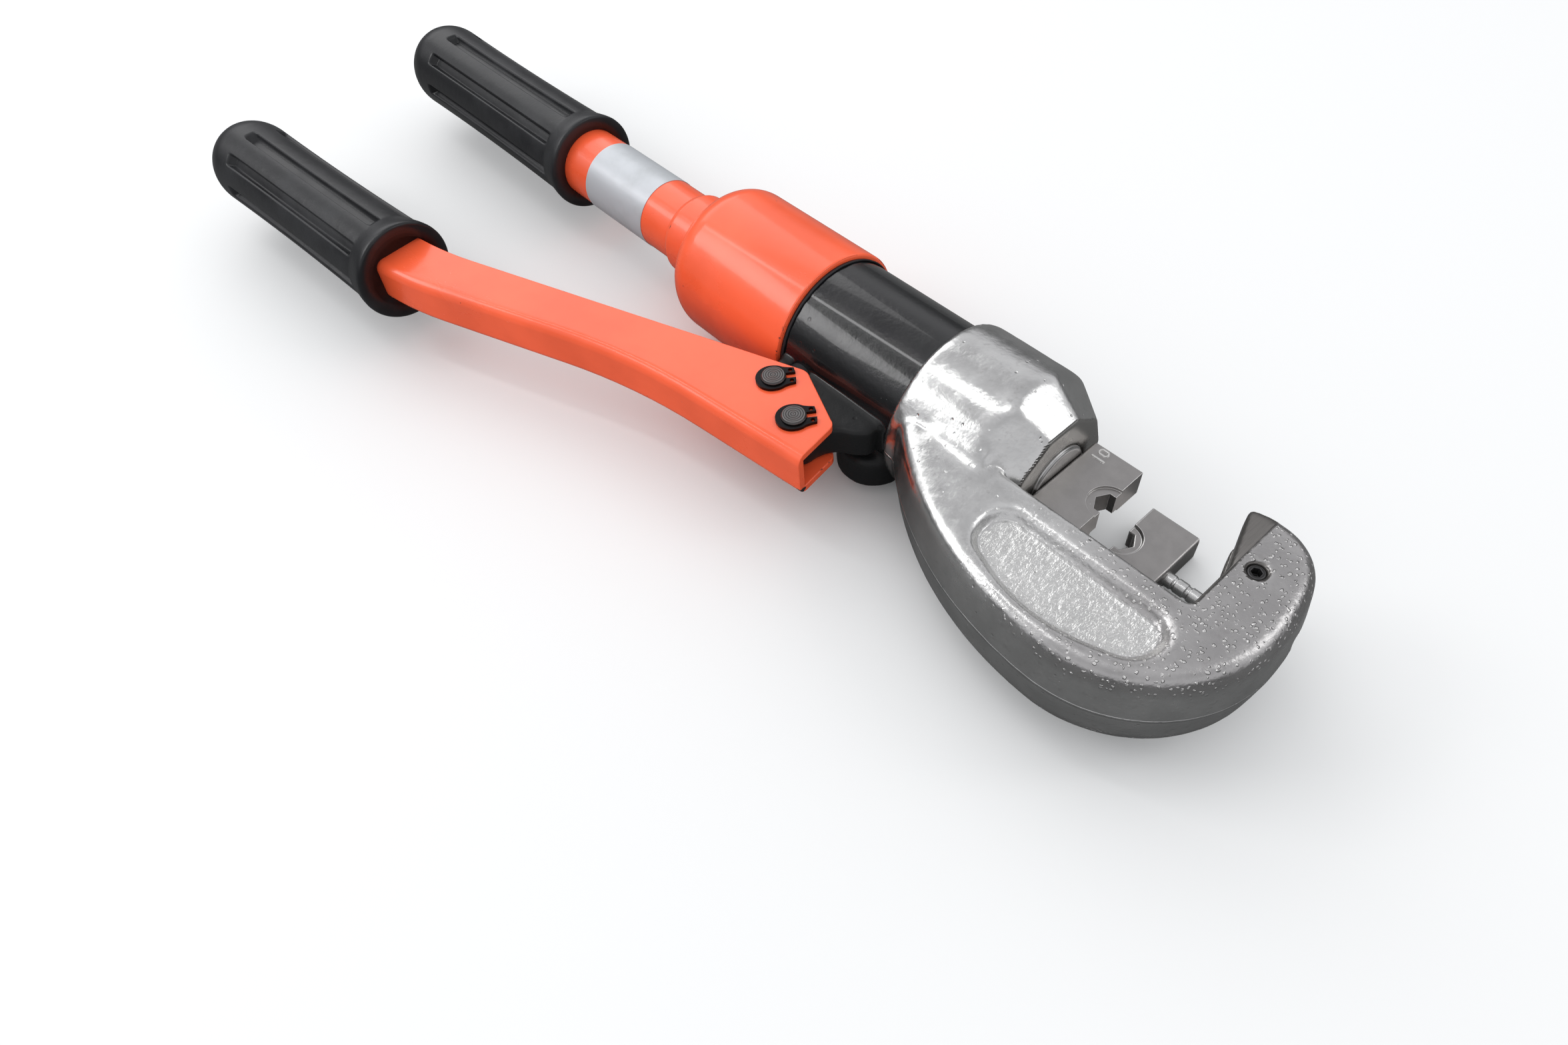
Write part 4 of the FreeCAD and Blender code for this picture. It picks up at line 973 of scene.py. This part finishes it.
@dataclass
class PumpLever:
    """The folded lever, its two pins, their circlips and its grip."""

    body: str = "pump_lever"
    edge: float = 0.45
    slant_deg: float = 4.563
    clip_inner: float = 3.45
    clip_outer: float = 5.1
    clip_gap: float = 1.1
    clip_turn: float = 54.0
    lug_reach: float = 6.9
    lug_width: float = 2.45
    lug_hole: float = 0.70
    lug_root_deg: float = 52.0
    eye_back: float = 1.45
    clip_swell: float = 0.55
    clip_steps: int = 48
    clip_thick: float = 1.0

    def clip(self) -> Mesh:
        """One circlip with two eyed lugs, lying flat round the origin, lugs towards +X."""
        reach, gap, wide = self.lug_reach, self.clip_gap, self.lug_width
        first = asin(gap / self.clip_inner)
        root = radians(self.lug_root_deg)
        outline = [(reach, gap), (reach - 0.3, gap + wide * 0.85), (reach - 2.2, gap + wide)]
        for i in range(self.clip_steps + 1):
            turn = root + (tau - 2 * root) * i / self.clip_steps
            radius = self.clip_outer + self.clip_swell * max(0.0, -cos(turn))
            outline.append(polar(radius, turn))
        outline += [(x, -y) for x, y in outline[2::-1]]
        for i in range(self.clip_steps + 1):
            turn = tau - first - (tau - 2 * first) * i / self.clip_steps
            outline.append(polar(self.clip_inner, turn))
        edit = bmesh.new()
        loops = [outline]
        for side in (1, -1):
            eye = (reach - self.eye_back, side * (gap + wide * 0.48))
            hole = (polar(self.lug_hole, tau * i / 16) for i in range(16))
            loops.append([(eye[0] + x, eye[1] + y) for x, y in hole])
        for loop in loops:
            ring = [edit.verts.new((x * MM, y * MM, 0)) for x, y in loop]
            for i, vert in enumerate(ring):
                edit.edges.new((vert, ring[(i + 1) % len(ring)]))
        bmesh.ops.triangle_fill(edit, use_beauty=True, use_dissolve=True, edges=edit.edges)
        raised = bmesh.ops.extrude_face_region(edit, geom=edit.faces[:])
        up = [v for v in raised["geom"] if isinstance(v, BMVert)]
        bmesh.ops.translate(edit, verts=up, vec=(0, 0, self.clip_thick * MM))
        bmesh.ops.rotate(edit, verts=edit.verts, cent=(0, 0, 0),
                         matrix=Matrix.Rotation(radians(self.clip_turn), 3, "Z"))
        return close(edit, "circlip")

    def clips(self, material: Material) -> Object:
        """All four circlips, two on each pin, set out by geometry nodes."""
        piece = new_piece("circlip_set", self.clip())
        bevel = piece.modifiers.new("edge", "BEVEL")
        bevel.width = 0.12 * MM
        bevel.segments = 2
        bevel.angle_limit = radians(40)
        bevel.harden_normals = True
        settle(piece)
        pins = [centre_of(node) for node in ("fulcrum_pin", "plunger_pin")]
        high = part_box("circlips")[1].z - self.clip_thick * MM
        places = {"First": (pins[0].x, pins[0].y, high), "Second": (pins[1].x, pins[1].y, high),
                  "Finish": material}
        return shaped(piece, clip_tree(), places)

    def build(self, paint: Material, rubber: Material) -> None:
        """Builds and dresses the lever."""
        eased("lever", "folded_lever", self.edge, self.body, "orange_paint", paint, 40.0, 3)
        for node in ("fulcrum_pin", "plunger_pin"):
            oxide = TurnedSteel(node + "_oxide", Metal.WORN_OXIDE.value,
                                tuple(centre_of(node)), "Z", 0.8, 0.30, 0.75 * MM, 0.08 * MM, 0.75)
            eased(node, node + "_turned", 0.25, self.body, "black_oxide", oxide.material())
        spring = SatinSteel("clip_oxide", (0.022, 0.021, 0.022), (0.16,) * 3, 0.34).material()
        hand_over(self.clips(spring), self.body, "black_oxide", spring, "circlips")
        RibbedGrip("lever_grip", "lever_grip_ribbed", self.slant_deg).build(self.body, rubber)


def clip_tree() -> NodeTree:
    """Geometry nodes that put one circlip on two pins, above and, turned over, below."""
    g = Shaper("set_out_clips", "Vector", ("First", "Second"))
    above = g.node("GeometryNodeJoinGeometry")
    for name in ("First", "Second"):
        put = g.node("GeometryNodeTransform", Geometry=g.given["Geometry"],
                     Translation=g.given[name])
        g.feed(above.inputs[0], put.outputs[0])
    below = g.node("GeometryNodeTransform", Geometry=above.outputs[0], Scale=(1.0, 1.0, -1.0))
    flip = g.node("GeometryNodeFlipFaces", i0=below.outputs[0])
    every = g.node("GeometryNodeJoinGeometry")
    for source in (above, flip):
        g.feed(every.inputs[0], source.outputs[0])
    return g.finish(every.outputs[0])


@dataclass
class Plunger:
    """The pump plunger between the lever's pin and the cylinder."""

    body: str = "plunger"

    def build(self) -> None:
        """Builds and dresses the plunger."""
        steel = SatinSteel("plunger_steel", (0.16, 0.155, 0.15), (0.5, 0.5, 0.5), 0.36)
        eased("pump_plunger", "plunger_ground", 0.3, self.body, "ground_steel",
              steel.material())


@dataclass
class Studio:
    """Pale floor, soft lamps, white surroundings and the camera."""

    azimuth: float = 52.33
    elevation: float = 52.23
    roll: float = -5.61
    camera_at: tuple = (0.04745, -0.17987, 0.23875)
    lens: float = 24.238
    sky: float = 0.98
    sky_tint: Colour = (0.97, 0.985, 1.0)
    seen_floor: float = 0.83
    lit_floor: float = 0.60
    mirrored_floor: float = 0.14
    bands: tuple = ((0.0, 0.08), (0.18, 0.12), (0.34, 0.62), (0.52, 0.74), (0.70, 0.50),
                    (0.84, 0.46), (1.0, 0.70))
    aim: tuple = (-0.15, -0.03, 0.0)
    lamps: tuple = (("panel", (-1.50, 0.40, 1.05), (1.30, 1.00), 4.4),
                    ("strip", (-0.65, -0.22, 1.05), (0.06, 0.90), 1.2),
                    ("left", (-1.00, -0.75, 0.85), (0.60, 0.45), 3.0),
                    ("rim", (0.55, 0.65, 0.80), (0.25, 0.60), 0.9))

    def camera(self) -> None:
        """Makes the camera."""
        a, e, r = (radians(v) for v in (self.azimuth, self.elevation, self.roll))
        right = Vector((cos(a), sin(a), 0))
        up = Vector((-sin(a) * sin(e), cos(a) * sin(e), cos(e)))
        look = Vector((-sin(a) * cos(e), cos(a) * cos(e), -sin(e)))
        side = right * cos(r) + up * sin(r)
        top = up * cos(r) - right * sin(r)
        turn = Matrix((side, top, -look)).transposed().to_4x4()
        data = bpy.data.cameras.new("camera")
        data.lens = self.lens
        data.sensor_width = 36.0
        data.clip_start, data.clip_end = 0.005, 50.0
        made = new_piece("camera", data)
        made.matrix_world = Matrix.Translation(self.camera_at) @ turn
        bpy.context.scene.camera = made

    def lamp(self, name: str, at: tuple, size: tuple, power: float) -> None:
        """Adds one soft rectangular lamp that points at the tool."""
        data = bpy.data.lights.new(name, "AREA")
        data.shape = "RECTANGLE"
        data.size, data.size_y = size
        data.energy = power
        made = new_piece(name, data)
        made.location = at
        made.rotation_euler = (Vector(self.aim) - Vector(at)).to_track_quat("-Z", "Y").to_euler()

    def floor(self) -> None:
        """Lays the pale floor under the tool."""
        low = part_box("c_head")[0].z - 0.02 * MM
        edit = bmesh.new()
        corners = [(x, y, low) for x, y in ((-4, -4), (4, -4), (4, 4), (-4, 4))]
        edit.faces.new([edit.verts.new(c) for c in corners])
        floor = new_piece("floor", baked(edit, "floor"))
        g = Graph("pale_floor")
        path = g.node("ShaderNodeLightPath").outputs
        colour = g.mix(path["Is Glossy Ray"], (self.lit_floor,) * 3, (self.mirrored_floor,) * 3)
        colour = g.mix(path["Is Camera Ray"], colour, (self.seen_floor,) * 3)
        floor.data.materials.append(g.finish(Base_Color=colour, Roughness=0.8,
                                             Specular_IOR_Level=0.15))

    def world(self) -> None:
        """White to the eye, dimmer as a light, and banded where metal mirrors it."""
        world = bpy.data.worlds.new("surroundings")
        bpy.context.scene.world = world
        world.use_nodes = True
        g = Net(world.node_tree)
        way = g.node("ShaderNodeSeparateXYZ",
                     i0=g.node("ShaderNodeTexCoord").outputs["Generated"])
        bands = g.node("ShaderNodeValToRGB", Fac=way.outputs["Z"])
        bands.color_ramp.interpolation = "B_SPLINE"
        for _ in range(len(self.bands) - 2):
            bands.color_ramp.elements.new(0.5)
        for element, (height, level) in zip(bands.color_ramp.elements, self.bands):
            element.position = height
            element.color = (level, level, level * 1.03, 1)
        path = g.node("ShaderNodeLightPath").outputs
        shown = g.node("ShaderNodeBackground", Color=self.sky_tint, Strength=self.sky)
        for ray, light in (("Is Glossy Ray", bands.outputs[0]),
                           ("Is Camera Ray", (1.0, 1.0, 1.0))):
            other = g.node("ShaderNodeBackground", Color=light, Strength=1.0)
            shown = g.node("ShaderNodeMixShader", i0=path[ray], i1=shown.outputs[0],
                           i2=other.outputs[0])
        g.node("ShaderNodeOutputWorld", Surface=shown.outputs[0])

    def build(self) -> None:
        """Sets up the whole studio."""
        self.camera()
        self.floor()
        self.world()
        for lamp in self.lamps:
            self.lamp(*lamp)


def main() -> None:
    """Builds every sub-assembly, then the studio."""
    logging.basicConfig(level=logging.INFO, format="%(name)s: %(message)s")
    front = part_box("lever")[1]
    vermilion = (0.97, 0.122, 0.042)
    paint = GlossPaint("vermilion_paint", vermilion).material()
    lever_paint = GlossPaint(
        "vermilion_lever", vermilion,
        chip_at=(front.x - 0.4 * MM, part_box("fulcrum_pin")[0].y - 6.0 * MM,
                 -6.6 * MM)).material()
    rubber = MouldedRubber("grip_rubber").material()
    ForgedHead().build()
    PumpCylinder().build()
    RamAndDies().build()
    ReservoirHandle().build(paint, rubber)
    PumpLever().build(lever_paint, rubber)
    Plunger().build()
    Studio().build()
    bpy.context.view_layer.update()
    scene = bpy.context.scene
    scene.view_settings.view_transform = "Standard"


if __name__ == "__main__":
    main()
